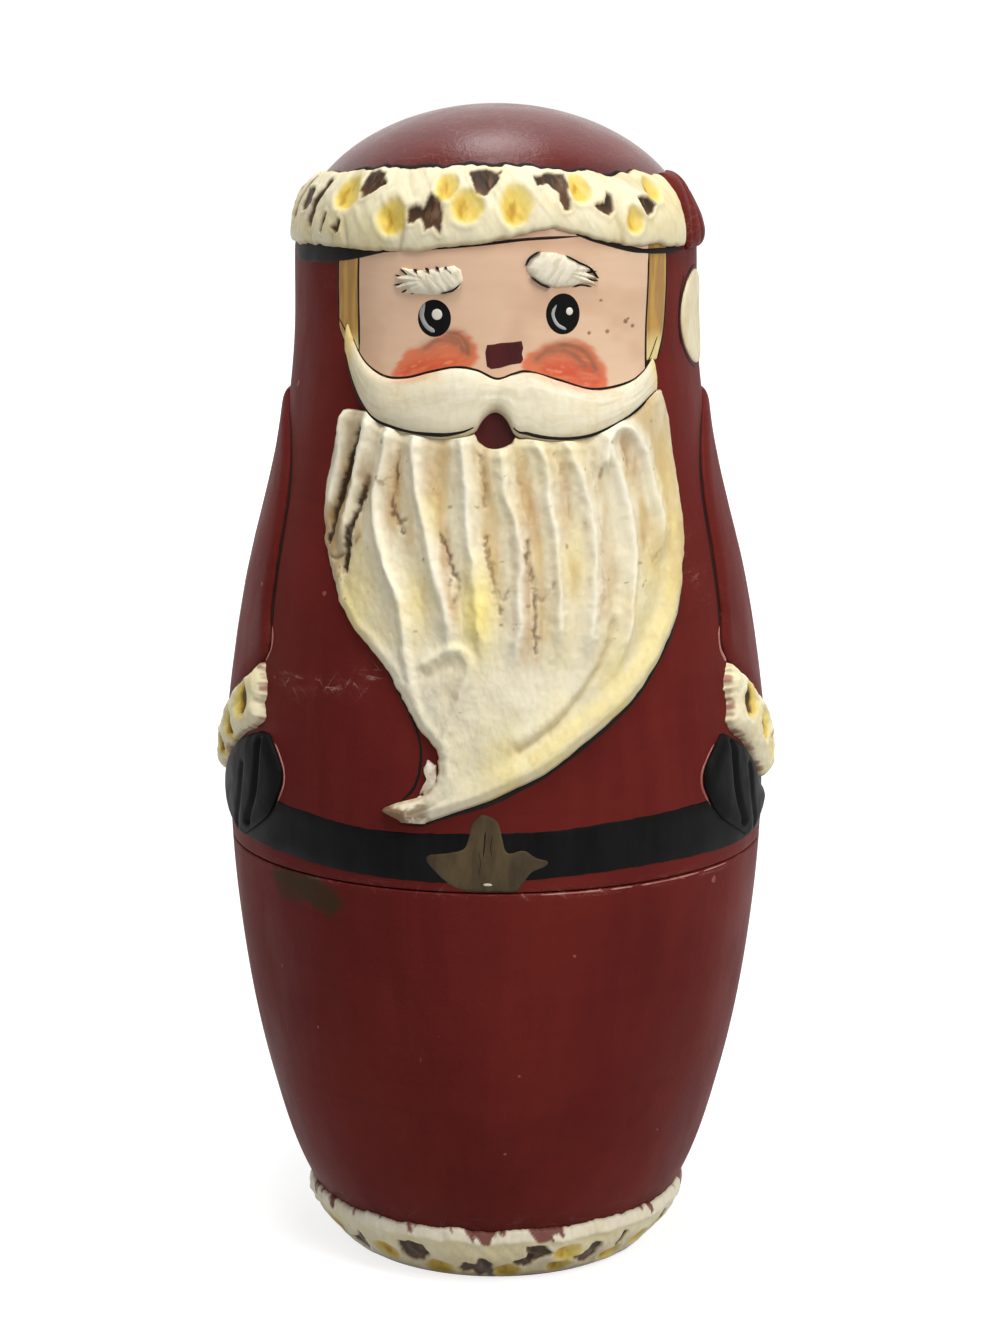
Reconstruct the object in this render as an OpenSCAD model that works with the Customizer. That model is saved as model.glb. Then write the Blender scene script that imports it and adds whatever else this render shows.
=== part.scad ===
// Nesting doll: five turned wooden dolls, one inside another, each a bearded figure in a red coat.
// The four larger dolls open at a spigot and socket seam, and the smallest doll is solid.
// Raised fur, hair, sleeves and mittens are pieces laid on the turned wood.
// Millimetres, +Z up. The origin is the centre of the outer base and the face looks along -Y.
// Angles go round the doll from the front and grow towards the viewer's right.

/* [Outer doll] */
// Radius of the flat base
base_r = 23.9; // [22.5:0.1:25]
// Radius of the coat at the knees
skirt_r = 35.7; // [34.5:0.1:37]
// Height of the knees
skirt_z = 28; // [25:0.5:31]
// Largest radius, just above the seam
belly_r = 41.5; // [40.5:0.1:43]
// Height of the largest radius
belly_z = 76; // [73:0.5:80]
// Radius at the shoulders
shoulder_r = 32.2; // [31:0.1:33.5]
// Height of the shoulders
shoulder_z = 130; // [126:0.5:134]
// Radius of the head under the hat
head_r = 30.5; // [29.5:0.1:31.5]
// Height where the round crown begins
crown_z = 155.8; // [151:0.2:161]
// Height of the crown above that
crown_h = 22.2; // [19:0.2:25]
// Height of the seam where the doll opens
seam_z = 66; // [62:0.5:67]

/* [Nest] */
// Size of each doll against the one around it
nest_ratio = 0.78; // [0.75:0.005:0.79]
// Wall of the outer shells, scaled for the inner ones
wall = 4; // [3.6:0.1:4.4]
// Floor of the outer lower shell, scaled for the inner ones
floor_t = 5; // [4:0.25:6]
// Free height over the head of a nested doll, outer doll
head_gap = 3; // [2:0.25:4]
// Height of the outer spigot, scaled for the inner ones
spigot_h = 10; // [8:0.5:12]

/* [Fits] */
// Radial play between spigot and socket
fit_play = 0.05; // [0.03:0.01:0.08]
// Open line at the seam
seam_gap = 0.2; // [0.15:0.05:0.3]
// Play under each nested doll
seat_gap = 0.1; // [0.05:0.05:0.2]
// Glue line under the raised pieces
skin_gap = 0.1; // [0.08:0.01:0.15]
// Least room around the trim of a nested doll, outer doll
side_gap = 0.5; // [0.3:0.1:1]

/* [Edges] */
// Bevel round the foot
bevel_h = 0.8; // [0.5:0.1:1.2]
// Lead-in of the spigot and the socket
lead_h = 0.8; // [0.5:0.1:1.2]
// Fillet between floor and wall
fillet_r = 1.5; // [1:0.1:2.5]

/* [Raised trim] */
// Fur of the hat band and the hem
fur_t = 1.4; // [1.1:0.1:1.8]
// Fur of the cuffs
cuff_t = 1.9; // [1.5:0.1:2.4]
// Beard at its thickest lock
beard_t = 2.4; // [1.8:0.1:3]
// Moustache at its thickest
moustache_t = 2; // [1.5:0.1:2.5]
// Brows
brow_t = 0.8; // [0.5:0.05:1.2]
// Sleeves
sleeve_t = 0.9; // [0.6:0.05:1.2]
// Mittens
mitten_t = 1.2; // [0.8:0.05:1.6]
// Fold of the hat that hangs over one side
tail_t = 1.3; // [1:0.1:1.7]
// Pompom at the end of the fold
pompom_t = 0.4; // [0.3:0.05:0.6]
// Share of the relief that the nested dolls keep
relief_ratio = 0.7; // [0.5:0.05:0.8]
// Locks across the beard
beard_locks = 9; // [7:1:11]

/* [Hidden] */

doll_h = crown_z + crown_h;
coat_red = [0.42, 0.12, 0.11];
fur_cream = [0.93, 0.88, 0.72];
mitten_black = [0.1, 0.1, 0.11];

// Turned outline of the outer doll: height and radius
stations = [
    [0, base_r],
    [skirt_z / 2, base_r + 0.63 * (skirt_r - base_r)],
    [skirt_z, skirt_r],
    [(skirt_z + belly_z) / 2, skirt_r + 0.76 * (belly_r - skirt_r)],
    [belly_z, belly_r],
    [belly_z + 0.52 * (shoulder_z - belly_z), shoulder_r + 0.63 * (belly_r - shoulder_r)],
    [shoulder_z, shoulder_r],
    [(shoulder_z + crown_z) / 2, head_r + 0.15 * (shoulder_r - head_r)],
    [crown_z, head_r]
];

// Trim is drawn on the heights 0 to 178 and follows the knees, belly, shoulders and crown
function height(z) =
    lookup(z, [[0, 0], [28, skirt_z], [76, belly_z], [130, shoulder_z], [156, crown_z], [178, doll_h]]);

// Smooth curve through points of rising x
function slope(p, i) = (p[i + 1][1] - p[i][1]) / (p[i + 1][0] - p[i][0]);
function mid_slope(p, i) =
    let (a = p[i][0] - p[i - 1][0], b = p[i + 1][0] - p[i][0])
    (slope(p, i) * a + slope(p, i - 1) * b) / (a + b);
function tangent(p, i) =
    i == 0 ? slope(p, 0) : i == len(p) - 1 ? slope(p, i - 1) : mid_slope(p, i);
function span(p, x, i = 0) = i >= len(p) - 2 || x <= p[i + 1][0] ? i : span(p, x, i + 1);
function hermite(p, i, d, t) =
    (2 * t * t * t - 3 * t * t + 1) * p[i][1] + (t * t * t - 2 * t * t + t) * d * tangent(p, i)
    + (3 * t * t - 2 * t * t * t) * p[i + 1][1] + (t * t * t - t * t) * d * tangent(p, i + 1);
function track(p, x) =
    let (q = max(p[0][0], min(p[len(p) - 1][0], x)), i = span(p, q), d = p[i + 1][0] - p[i][0])
    hermite(p, i, d, (q - p[i][0]) / d);

// Outer doll's radius at height z, straight wall and then the crown
function profile(z) =
    z <= crown_z ? track(stations, z)
    : head_r * sqrt(max(0, 1 - pow((z - crown_z) / crown_h, 2)));

// Sizes of doll k, 0 being the outer one
function scale_of(k) = pow(nest_ratio, k);
function radius_of(k, z) = scale_of(k) * profile(z / scale_of(k));
function base_of(k) = k == 0 ? 0 : base_of(k - 1) + seat_of(k - 1);
function seat_of(k) = scale_of(k) * floor_t + seat_gap;
function bore_of(k, z) = max(radius_of(k, z) - scale_of(k) * wall, room_of(k, z - seat_of(k)));
function spigot_of(k) = radius_of(k, scale_of(k) * seam_z) - scale_of(k) * wall / 2;
function roof_of(k) = seat_of(k) + scale_of(k + 1) * doll_h + scale_of(k) * head_gap;
function relief_of(k) = k == 0 ? 1 : relief_ratio * scale_of(k);

// Radius that the next doll inside doll k needs for its trim at its own height z
function room_of(k, z) =
    z > scale_of(k + 1) * doll_h ? 0
    : radius_of(k + 1, z) + skin_gap + relief_of(k + 1) * max(fur_t, beard_t) + scale_of(k) * side_gap;

// Outline points of doll k between two heights, and its crown
function side(k, z0, z1, n) = [for (i = [0:n]) let (z = z0 + (z1 - z0) * i / n) [radius_of(k, z), z]];
function crown(k, n) =
    let (s = scale_of(k))
    [for (i = [1:n]) [i == n ? 0 : s * head_r * cos(90 * i / n), s * (crown_z + crown_h * sin(90 * i / n))]];
function bore(k, z0, z1, n) = [for (i = [0:n]) let (z = z0 + (z1 - z0) * i / n) [bore_of(k, z), z]];

module lower_shell(k) {
    s = scale_of(k);
    seam = s * seam_z;
    top = seam + s * spigot_h;
    deck = s * floor_t;
    fillet = s * fillet_r;
    foot = s * bevel_h;
    corner = bore_of(k, deck + fillet) - fillet;
    translate([0, 0, base_of(k)])
        rotate_extrude($fn = 96)
            polygon(concat(
                [[0, 0], [s * base_r - foot / 2, 0]],
                side(k, foot, seam, 16),
                [[spigot_of(k), seam], [spigot_of(k), top - s * lead_h]],
                [[spigot_of(k) - s * lead_h / 2, top], [bore_of(k, seam), top]],
                bore(k, seam, deck + fillet, 12),
                [for (a = [22.5:22.5:90]) [corner + fillet * cos(a), deck + fillet * (1 - sin(a))]],
                [[0, deck]]
            ));
}

module upper_shell(k) {
    s = scale_of(k);
    rim = s * seam_z + seam_gap;
    step = s * (seam_z + spigot_h) + seam_gap;
    roof = roof_of(k);
    spring = roof - scale_of(k + 1) * crown_h;
    span_r = bore_of(k, spring);
    socket = spigot_of(k) + fit_play;
    translate([0, 0, base_of(k)])
        rotate_extrude($fn = 96)
            polygon(concat(
                [[socket + s * lead_h / 2, rim]],
                side(k, rim, s * crown_z, 22),
                crown(k, 12),
                [for (i = [0:9]) let (a = 90 - 10 * i)
                    [i == 0 ? 0 : span_r * cos(a), spring + (roof - spring) * sin(a)]],
                bore(k, spring, step, 14),
                [[socket, step], [socket, rim + s * lead_h]]
            ));
}

module solid_doll(k) {
    s = scale_of(k);
    foot = s * bevel_h;
    translate([0, 0, base_of(k)])
        rotate_extrude($fn = 96)
            polygon(concat(
                [[0, 0], [s * base_r - foot / 2, 0]],
                side(k, foot, s * crown_z, 36),
                crown(k, 12)
            ));
}

// Point over doll k's wood at angle th, outline height z and lift h
function on_skin(k, th, z, h) =
    let (s = scale_of(k), zh = height(z), r = s * profile(zh) + h)
    [r * sin(th), -r * cos(th), base_of(k) + s * zh];

// Closed sheet over doll k. at(u, v) gives angle, outline height and thickness
module relief(k, at, cols, rows) {
    n = (cols + 1) * (rows + 1);
    grid = [for (j = [0:rows], i = [0:cols]) at(i / cols, j / rows)];
    top = [for (p = grid) on_skin(k, p[0], p[1], skin_gap + relief_of(k) * p[2])];
    bed = [for (p = grid) on_skin(k, p[0], p[1], skin_gap)];
    o = function (i, j) j * (cols + 1) + i;
    b = function (i, j) n + j * (cols + 1) + i;
    sheets = [for (j = [0:rows - 1], i = [0:cols - 1]) each [
        [o(i, j), o(i, j + 1), o(i + 1, j + 1)],
        [o(i, j), o(i + 1, j + 1), o(i + 1, j)],
        [b(i, j), b(i + 1, j + 1), b(i, j + 1)],
        [b(i, j), b(i + 1, j), b(i + 1, j + 1)]
    ]];
    ends = [for (i = [0:cols - 1]) each [
        [o(i, 0), o(i + 1, 0), b(i + 1, 0)],
        [o(i, 0), b(i + 1, 0), b(i, 0)],
        [o(i + 1, rows), o(i, rows), b(i, rows)],
        [o(i + 1, rows), b(i, rows), b(i + 1, rows)]
    ]];
    sides = [for (j = [0:rows - 1]) each [
        [o(0, j + 1), o(0, j), b(0, j)],
        [o(0, j + 1), b(0, j), b(0, j + 1)],
        [o(cols, j), o(cols, j + 1), b(cols, j + 1)],
        [o(cols, j), b(cols, j + 1), b(cols, j)]
    ]];
    polyhedron(points = concat(top, bed), faces = concat(sheets, ends, sides));
}

// Closed ring over doll k. at(u, v) gives angle, outline height and thickness
module relief_ring(k, at, cols, rows) {
    n = cols * (rows + 1);
    grid = [for (j = [0:rows], i = [0:cols - 1]) at(i / cols, j / rows)];
    top = [for (p = grid) on_skin(k, p[0], p[1], skin_gap + relief_of(k) * p[2])];
    bed = [for (p = grid) on_skin(k, p[0], p[1], skin_gap)];
    o = function (i, j) j * cols + i % cols;
    b = function (i, j) n + j * cols + i % cols;
    faces = [for (i = [0:cols - 1]) each concat(
        [for (j = [0:rows - 1]) each [
            [o(i, j), o(i, j + 1), o(i + 1, j + 1)],
            [o(i, j), o(i + 1, j + 1), o(i + 1, j)],
            [b(i, j), b(i + 1, j + 1), b(i, j + 1)],
            [b(i, j), b(i + 1, j), b(i + 1, j + 1)]
        ]],
        [
            [o(i, 0), o(i + 1, 0), b(i + 1, 0)],
            [o(i, 0), b(i + 1, 0), b(i, 0)],
            [o(i + 1, rows), o(i, rows), b(i, rows)],
            [o(i + 1, rows), b(i, rows), b(i + 1, rows)]
        ]
    )];
    polyhedron(points = concat(top, bed), faces = faces);
}

// Rounded cross-section from 0 at both edges to 1 in the middle
function round_over(v) = sqrt(max(0, 1 - pow(2 * v - 1, 2)));
function swell(x, c, w) = exp(-pow((x - c) / w, 2));
function rise(x) = sin(90 * max(0, min(1, x)));
function ease(x) = let (t = max(0, min(1, x))) t * t * (3 - 2 * t);

// Hat band: it runs round the back from one side of the hanging fold to the other
band_start_deg = -258.5;
band_end_deg = 64.4;
function band_low(th) = 157.6 + 2.9 * swell(th, 15, 18) + 0.25 * sin(th * 14);
function band_high(th) = 167.1 + 2 * swell(th, -8, 50) + 0.3 * sin(th * 17 + 40);
function band_at(u, v) =
    let (th = band_start_deg + (band_end_deg - band_start_deg) * u, lo = band_low(th), hi = band_high(th))
    let (dent = 1 + 0.12 * sin(th * 11) * sin(360 * v + th * 5))
    let (ends = 0.6 + 0.4 * rise(min(u, 1 - u) * 60), wedge = 0.5 + 0.5 * ease(1.3 * v))
    [th, lo + (hi - lo) * v, fur_t * (0.3 + 0.7 * round_over(v) * dent) * ends * wedge];

// Hem: a ring of fur round the bottom of the coat
function hem_low(th) = 0.8 + 0.2 * sin(th * 9);
function hem_high(th) = 9.8 + 0.3 * sin(th * 13 + 70);
function hem_at(u, v) =
    let (th = 360 * u, lo = hem_low(th), hi = hem_high(th))
    let (dent = 1 + 0.12 * sin(th * 10) * sin(360 * v + th * 4), wedge = 0.45 + 0.55 * ease(1.6 * v))
    [th, lo + (hi - lo) * v, fur_t * (0.3 + 0.7 * round_over(v) * dent) * wedge];

// Moustache: lower and upper edges by angle
moustache_low = [
    [-44.5, 144.6], [-40, 138.6], [-34.5, 134.7], [-26, 132.2], [-14, 131], [-5.5, 132.3], [-0.4, 134.8],
    [4.6, 132.2], [11, 131], [20, 130.6], [34, 133.5], [47.5, 137.2]
];
moustache_high = [
    [-44.5, 146], [-40, 142], [-30, 139.3], [-16, 140.5], [-8, 140.8], [0.5, 139.5],
    [8, 140.3], [24, 137.8], [35, 138], [47.5, 142]
];
function moustache_at(u, v) =
    let (th = -44.5 + 92 * u, lo = track(moustache_low, th), hi = track(moustache_high, th))
    let (ends = 0.35 + 0.65 * rise(min(u, 1 - u) * 6), middle = 1 - 0.4 * swell(th, 0, 4))
    [th, lo + (hi - lo) * v, moustache_t * (0.3 + 0.7 * round_over(v)) * ends * middle];

// Beard: left and right edges by height. Its top follows the moustache and dips for the mouth
beard_left = [
    [76.4, -19], [77.6, -22.8], [80.4, -14.5], [85.4, -11], [91.4, -15.2], [99.7, -23.7], [103.2, -30.7],
    [111, -39.5], [120, -45.2], [125, -46], [130.6, -43]
];
beard_right = [
    [76.4, -14.5], [77.9, -8.3], [82.4, 6.5], [87.3, 17.5], [94.8, 31.7], [102.5, 41.2], [113.8, 48.5],
    [125, 51.8], [130.6, 50.5]
];
function beard_cap(th) = 134.3 + 2.6 * ease((th + 30) / 70);
function beard_top(th) = min(beard_cap(th), track(moustache_low, th)) - 0.6 - 4.6 * swell(th, -0.4, 4);
function beard_lock(u, z) = cos(360 * (beard_locks * u + 0.1 * sin(z * 9))) * ease((z - 88) / 14);
function beard_at(u, v) =
    let (z = 76.4 + 54.2 * (0.35 * v * v + 0.65 * v), l = track(beard_left, z), r = track(beard_right, z))
    let (th = l + (r - l) * u, zt = z + (beard_top(th) - 130.6) * ease((z - 116) / 14.6))
    let (rim = min(rise(min(u, 1 - u) * 9), rise((v + 0.02) * 12)))
    [th, zt, beard_t * (0.17 + 0.83 * rim * (0.72 + 0.28 * beard_lock(u, z)))];

// Oval sheet: centre angle and height, half width in degrees, half height, tilt and thickness
function oval_at(u, v, th, z, w, h, tilt, t) =
    let (q = 1.94 * v - 0.97, x = (2 * u - 1) * sqrt(1 - q * q))
    [th + w * x, z + h * q + tilt * x, t * (0.35 + 0.65 * sqrt(max(0, 1 - x * x - q * q)))];

// Sheet between two edges by height on one side of the doll: hand is -1 for the viewer's left
function edged_at(u, v, hand, z0, z1, front, back, t, soft) =
    let (z = z0 + (z1 - z0) * v, f = track(front, z), b = track(back, z), w = hand > 0 ? u : 1 - u)
    let (rim = min(rise(min(u, 1 - u) * soft), rise((min(v, 1 - v) + 0.02) * soft)))
    [hand * (f + (b - f) * w), z, t * (0.4 + 0.6 * rim)];

sleeve_front = [
    [80.5, 89], [82, 88.3], [84, 86.3], [87.5, 80.8], [91.2, 72.3], [93.5, 67.3], [96.4, 61.2],
    [104, 61.5], [112, 63], [120, 65.2], [126, 69], [131, 76], [135, 86]
];
sleeve_back = [
    [80.5, 92], [85, 94], [95, 100.5], [104, 107], [114, 111], [122, 112], [128, 109], [133, 102], [135, 97]
];
cuff_front = [
    [76.4, 74.5], [78, 72.3], [80.5, 69.3], [83.5, 64], [85.6, 58.2], [87, 55.4], [90, 55.6], [93, 56.6],
    [95.6, 60]
];
cuff_back = [
    [76.4, 80], [78.5, 86], [81, 87], [84, 84.5], [87.5, 79], [91.2, 70.5], [93.5, 65.5], [95.6, 61]
];
mitten_front = [
    [68.9, 66], [70.3, 61.5], [73, 54.5], [76.8, 49.3], [79.3, 47.6], [81, 48], [83.6, 51.2], [85.4, 54.5]
];
mitten_back = [
    [68.9, 68.5], [70.5, 74], [73, 77], [74.6, 76], [76, 72.6], [78, 70.1], [80.5, 67.1], [83.5, 61.6],
    [85.4, 56.2]
];
fold_front = [[157, 67], [160, 65.7], [164, 65.6], [166.3, 66.6], [167.6, 70]];
fold_back = [[157, 98], [160, 100], [164, 100.4], [166.3, 99.4], [167.6, 96]];

module paint_red() {
    color(coat_red)
        children();
}

module paint_fur() {
    color(fur_cream)
        children();
}

module paint_black() {
    color(mitten_black)
        children();
}

module trimmed_ring(k, z0, z1, t) {
    s = scale_of(k);
    n = 8;
    edge = [for (i = [0:n]) height(z0 + (z1 - z0) * i / n)];
    bed = [for (z = edge) [s * profile(z) + skin_gap, s * z]];
    translate([0, 0, base_of(k)])
        rotate_extrude($fn = 96)
            polygon(concat(
                [for (i = [0:n]) bed[i] + [relief_of(k) * t * (0.3 + 0.7 * round_over(i / n)), 0]],
                [for (i = [n:-1:0]) bed[i]]
            ));
}

module hat_ring(k) {
    trimmed_ring(k, 157.6, 167.8, fur_t);
}

module hem_ring(k) {
    trimmed_ring(k, 1, 9.8, fur_t);
}

module moustache(k, cols, rows) {
    relief(k, function (u, v) moustache_at(u, v), cols, rows);
}

module beard(k, cols, rows) {
    relief(k, function (u, v) beard_at(u, v), cols, rows);
}

module sleeve(hand) {
    z0 = sleeve_front[0][0];
    relief(0, function (u, v) edged_at(u, v, hand, z0, 135, sleeve_front, sleeve_back, sleeve_t, 6), 10, 12);
}

module cuff(hand) {
    relief(0, function (u, v) edged_at(u, v, hand, 76.4, 95.6, cuff_front, cuff_back, cuff_t, 3), 7, 8);
}

module mitten(hand) {
    relief(0, function (u, v) edged_at(u, v, hand, 68.9, 85.4, mitten_front, mitten_back, mitten_t, 4), 7, 8);
}

module outer_lower_shell() {
    paint_red() lower_shell(0);
}

module outer_hem_trim() {
    paint_fur() relief_ring(0, function (u, v) hem_at(u, v), 72, 5);
}

module outer_upper_shell() {
    paint_red() upper_shell(0);
}

module outer_hat_band() {
    paint_fur() relief(0, function (u, v) band_at(u, v), 72, 6);
}

module outer_hat_tail() {
    paint_red()
        relief(0, function (u, v) edged_at(u, v, 1, 157, 167.6, fold_front, fold_back, tail_t, 4), 9, 7);
}

module outer_hat_pompom() {
    paint_fur() relief(0, function (u, v) oval_at(u, v, 77.5, 146.6, 14, 7.1, 0, pompom_t), 8, 7);
}

module outer_left_brow() {
    paint_fur() relief(0, function (u, v) oval_at(u, v, -19, 153.4, 9.6, 1.5, 0.5, brow_t), 7, 3);
}

module outer_right_brow() {
    paint_fur() relief(0, function (u, v) oval_at(u, v, 17.2, 154.5, 9.1, 1.5, -0.9, brow_t), 7, 3);
}

module outer_moustache() {
    paint_fur() moustache(0, 28, 5);
}

module outer_beard() {
    paint_fur() beard(0, 32, 20);
}

module outer_left_sleeve() {
    paint_red() sleeve(-1);
}

module outer_right_sleeve() {
    paint_red() sleeve(1);
}

module outer_left_cuff() {
    paint_fur() cuff(-1);
}

module outer_right_cuff() {
    paint_fur() cuff(1);
}

module outer_left_mitten() {
    paint_black() mitten(-1);
}

module outer_right_mitten() {
    paint_black() mitten(1);
}

module second_lower_shell() {
    paint_red() lower_shell(1);
}

module second_hem_trim() {
    paint_fur() hem_ring(1);
}

module second_upper_shell() {
    paint_red() upper_shell(1);
}

module second_hat_band() {
    paint_fur() hat_ring(1);
}

module second_moustache() {
    paint_fur() moustache(1, 18, 3);
}

module second_beard() {
    paint_fur() beard(1, 20, 11);
}

module third_lower_shell() {
    paint_red() lower_shell(2);
}

module third_hem_trim() {
    paint_fur() hem_ring(2);
}

module third_upper_shell() {
    paint_red() upper_shell(2);
}

module third_hat_band() {
    paint_fur() hat_ring(2);
}

module third_moustache() {
    paint_fur() moustache(2, 18, 3);
}

module third_beard() {
    paint_fur() beard(2, 18, 10);
}

module fourth_lower_shell() {
    paint_red() lower_shell(3);
}

module fourth_hem_trim() {
    paint_fur() hem_ring(3);
}

module fourth_upper_shell() {
    paint_red() upper_shell(3);
}

module fourth_hat_band() {
    paint_fur() hat_ring(3);
}

module fourth_moustache() {
    paint_fur() moustache(3, 18, 3);
}

module fourth_beard() {
    paint_fur() beard(3, 16, 9);
}

module smallest_body() {
    paint_red() solid_doll(4);
}

module smallest_hem_trim() {
    paint_fur() hem_ring(4);
}

module smallest_hat_band() {
    paint_fur() hat_ring(4);
}

module smallest_moustache() {
    paint_fur() moustache(4, 16, 3);
}

module smallest_beard() {
    paint_fur() beard(4, 14, 8);
}

outer_lower_shell();
outer_hem_trim();
outer_upper_shell();
outer_hat_band();
outer_hat_tail();
outer_hat_pompom();
outer_left_brow();
outer_right_brow();
outer_moustache();
outer_beard();
outer_left_sleeve();
outer_right_sleeve();
outer_left_cuff();
outer_right_cuff();
outer_left_mitten();
outer_right_mitten();
second_lower_shell();
second_hem_trim();
second_upper_shell();
second_hat_band();
second_moustache();
second_beard();
third_lower_shell();
third_hem_trim();
third_upper_shell();
third_hat_band();
third_moustache();
third_beard();
fourth_lower_shell();
fourth_hem_trim();
fourth_upper_shell();
fourth_hat_band();
fourth_moustache();
fourth_beard();
smallest_body();
smallest_hem_trim();
smallest_hat_band();
smallest_moustache();
smallest_beard();
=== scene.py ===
"""Looks of the nesting doll: turned wood shells, raised paste trim and brushed paint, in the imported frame."""

import math

import bpy
import numpy as np
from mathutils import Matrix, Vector


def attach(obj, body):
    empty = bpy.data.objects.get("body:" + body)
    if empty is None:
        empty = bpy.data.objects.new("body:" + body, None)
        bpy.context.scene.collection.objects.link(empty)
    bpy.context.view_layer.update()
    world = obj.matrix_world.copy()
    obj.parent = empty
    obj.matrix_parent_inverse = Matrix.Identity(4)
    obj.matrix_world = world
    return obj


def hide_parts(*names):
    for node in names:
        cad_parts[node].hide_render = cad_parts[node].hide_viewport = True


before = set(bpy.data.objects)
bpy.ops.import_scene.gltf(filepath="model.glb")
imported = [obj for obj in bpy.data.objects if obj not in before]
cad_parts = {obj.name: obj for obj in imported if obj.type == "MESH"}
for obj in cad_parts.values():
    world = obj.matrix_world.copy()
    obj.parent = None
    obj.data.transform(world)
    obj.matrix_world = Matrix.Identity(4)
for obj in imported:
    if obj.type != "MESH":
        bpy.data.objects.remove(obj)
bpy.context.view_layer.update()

# Sizes in millimetres, the same values as the part's source
MM = 0.001
RATIO = 0.78
HEIGHT, CROWN_Z, HEAD_R = 178.0, 155.8, 30.5
SEAM, WALL, FLOOR, SPIGOT, HEAD_GAP = 66.0, 4.0, 5.0, 10.0, 3.0
SEAM_GAP, SEAT_GAP, FIT_PLAY = 0.2, 0.1, 0.05
BASE_R, SKIRT_R, BELLY_R, SHOULDER_R = 23.9, 35.7, 41.5, 32.2
STATIONS = np.array([
    (0, BASE_R), (14, BASE_R + 0.63 * (SKIRT_R - BASE_R)), (28, SKIRT_R), (52, SKIRT_R + 0.76 * (BELLY_R - SKIRT_R)),
    (76, BELLY_R), (104.08, SHOULDER_R + 0.63 * (BELLY_R - SHOULDER_R)), (130, SHOULDER_R),
    (142.9, HEAD_R + 0.15 * (SHOULDER_R - HEAD_R)), (CROWN_Z, HEAD_R),
])
NAMES = ["outer", "second", "third", "fourth", "smallest"]
SMALLEST = 4
SEGMENTS = (384, 288, 224, 180, 144)
ON_AXIS, FAR_OFF = 1e-6, 1e9


def track(points, x):
    """Smooth curve through points of rising x, as in the part's source."""
    p = np.asarray(points, float)
    px, py = p[:, 0], p[:, 1]
    step = np.diff(px)
    chord = np.diff(py) / step
    m = np.empty(len(px))
    m[0], m[-1] = chord[0], chord[-1]
    m[1:-1] = (chord[1:] * step[:-1] + chord[:-1] * step[1:]) / (step[:-1] + step[1:])
    q = np.clip(np.asarray(x, float), px[0], px[-1])
    i = np.clip(np.searchsorted(px, q) - 1, 0, len(px) - 2)
    t = (q - px[i]) / step[i]
    return ((2 * t**3 - 3 * t**2 + 1) * py[i] + (t**3 - 2 * t**2 + t) * step[i] * m[i]
            + (3 * t**2 - 2 * t**3) * py[i + 1] + (t**3 - t**2) * step[i] * m[i + 1])


def profile(z):
    """Radius of the outer doll at height z."""
    z = np.asarray(z, float)
    dome = HEAD_R * np.sqrt(np.clip(1 - ((z - CROWN_Z) / (HEIGHT - CROWN_Z)) ** 2, 0, None))
    return np.where(z <= CROWN_Z, track(STATIONS, z), dome)


def size_of(k):
    """Size of doll k against the outer one."""
    return RATIO**k


def base_of(k):
    """Height at which doll k stands, in millimetres."""
    return 0.0 if k == 0 else base_of(k - 1) + size_of(k - 1) * FLOOR + SEAT_GAP


def body_of(k, half):
    """The body that a piece of doll k's top or bottom half rides on."""
    return "smallest_doll" if k == SMALLEST else f"{NAMES[k]}_{half}"


def relief_of(k):
    """Share of the outer doll's relief that doll k's raised pieces have."""
    return 1.0 if k == 0 else 0.7 * size_of(k)


def place(k, th, z, h):
    """Points over doll k at angle th, outline height z and lift h along the surface's normal, in metres."""
    s = size_of(k)
    th = np.radians(np.asarray(th, float))
    z = np.asarray(z, float)
    e = 0.05
    d = np.clip((profile(z + e) - profile(z - e)) / (2 * e), -6, 6)
    q = 1 / np.sqrt(1 + d * d)
    r = s * profile(z) + h * q
    return np.stack([r * np.sin(th), -r * np.cos(th), base_of(k) + s * z - h * d * q], -1) * MM


# Small numeric helpers
def linear(*rgb):
    """A colour as the eye names it, 0 to 255, to the values that light works with."""
    c = np.asarray(rgb, float) / 255
    return np.where(c <= 0.04045, c / 12.92, ((c + 0.055) / 1.055) ** 2.4)


def ease(x):
    """A smooth step from 0 to 1."""
    t = np.clip(x, 0, 1)
    return t * t * (3 - 2 * t)


def bump_at(x, c, w):
    """A soft bump of width w around c."""
    return np.exp(-(((np.asarray(x, float) - c) / w) ** 2))


def crowd(t, share):
    """Steps from 0 to 1 that lie closer together near both ends, by a share."""
    return (1 - share) * t + share * (0.5 - 0.5 * np.cos(np.pi * t))


def rounded(edge, width):
    """A quarter-round rise from an edge, over a width."""
    return np.sqrt(np.clip(1 - (1 - np.clip(edge / width, 0, 1)) ** 2, 0, 1))


def hashed(i, j, seed):
    """A fixed value from 0 to 1 for each cell of a grid."""
    n = np.sin(i * 127.1 + j * 311.7 + seed * 74.7) * 43758.5453
    return n - np.floor(n)


def noise(x, y, seed=0):
    """Smooth value noise from 0 to 1."""
    x, y = np.asarray(x, float), np.asarray(y, float)
    i, j = np.floor(x), np.floor(y)
    u, v = ease(x - i), ease(y - j)
    a = hashed(i, j, seed) * (1 - u) + hashed(i + 1, j, seed) * u
    b = hashed(i, j + 1, seed) * (1 - u) + hashed(i + 1, j + 1, seed) * u
    return a * (1 - v) + b * v


def cloud(x, y, seed=0, octaves=3):
    """Noise of several sizes, from 0 to 1."""
    total, amount, weight = 0.0, 0.0, 1.0
    for o in range(octaves):
        total = total + weight * noise(x * 2**o, y * 2**o, seed + 7 * o)
        amount += weight
        weight *= 0.5
    return total / amount


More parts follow.
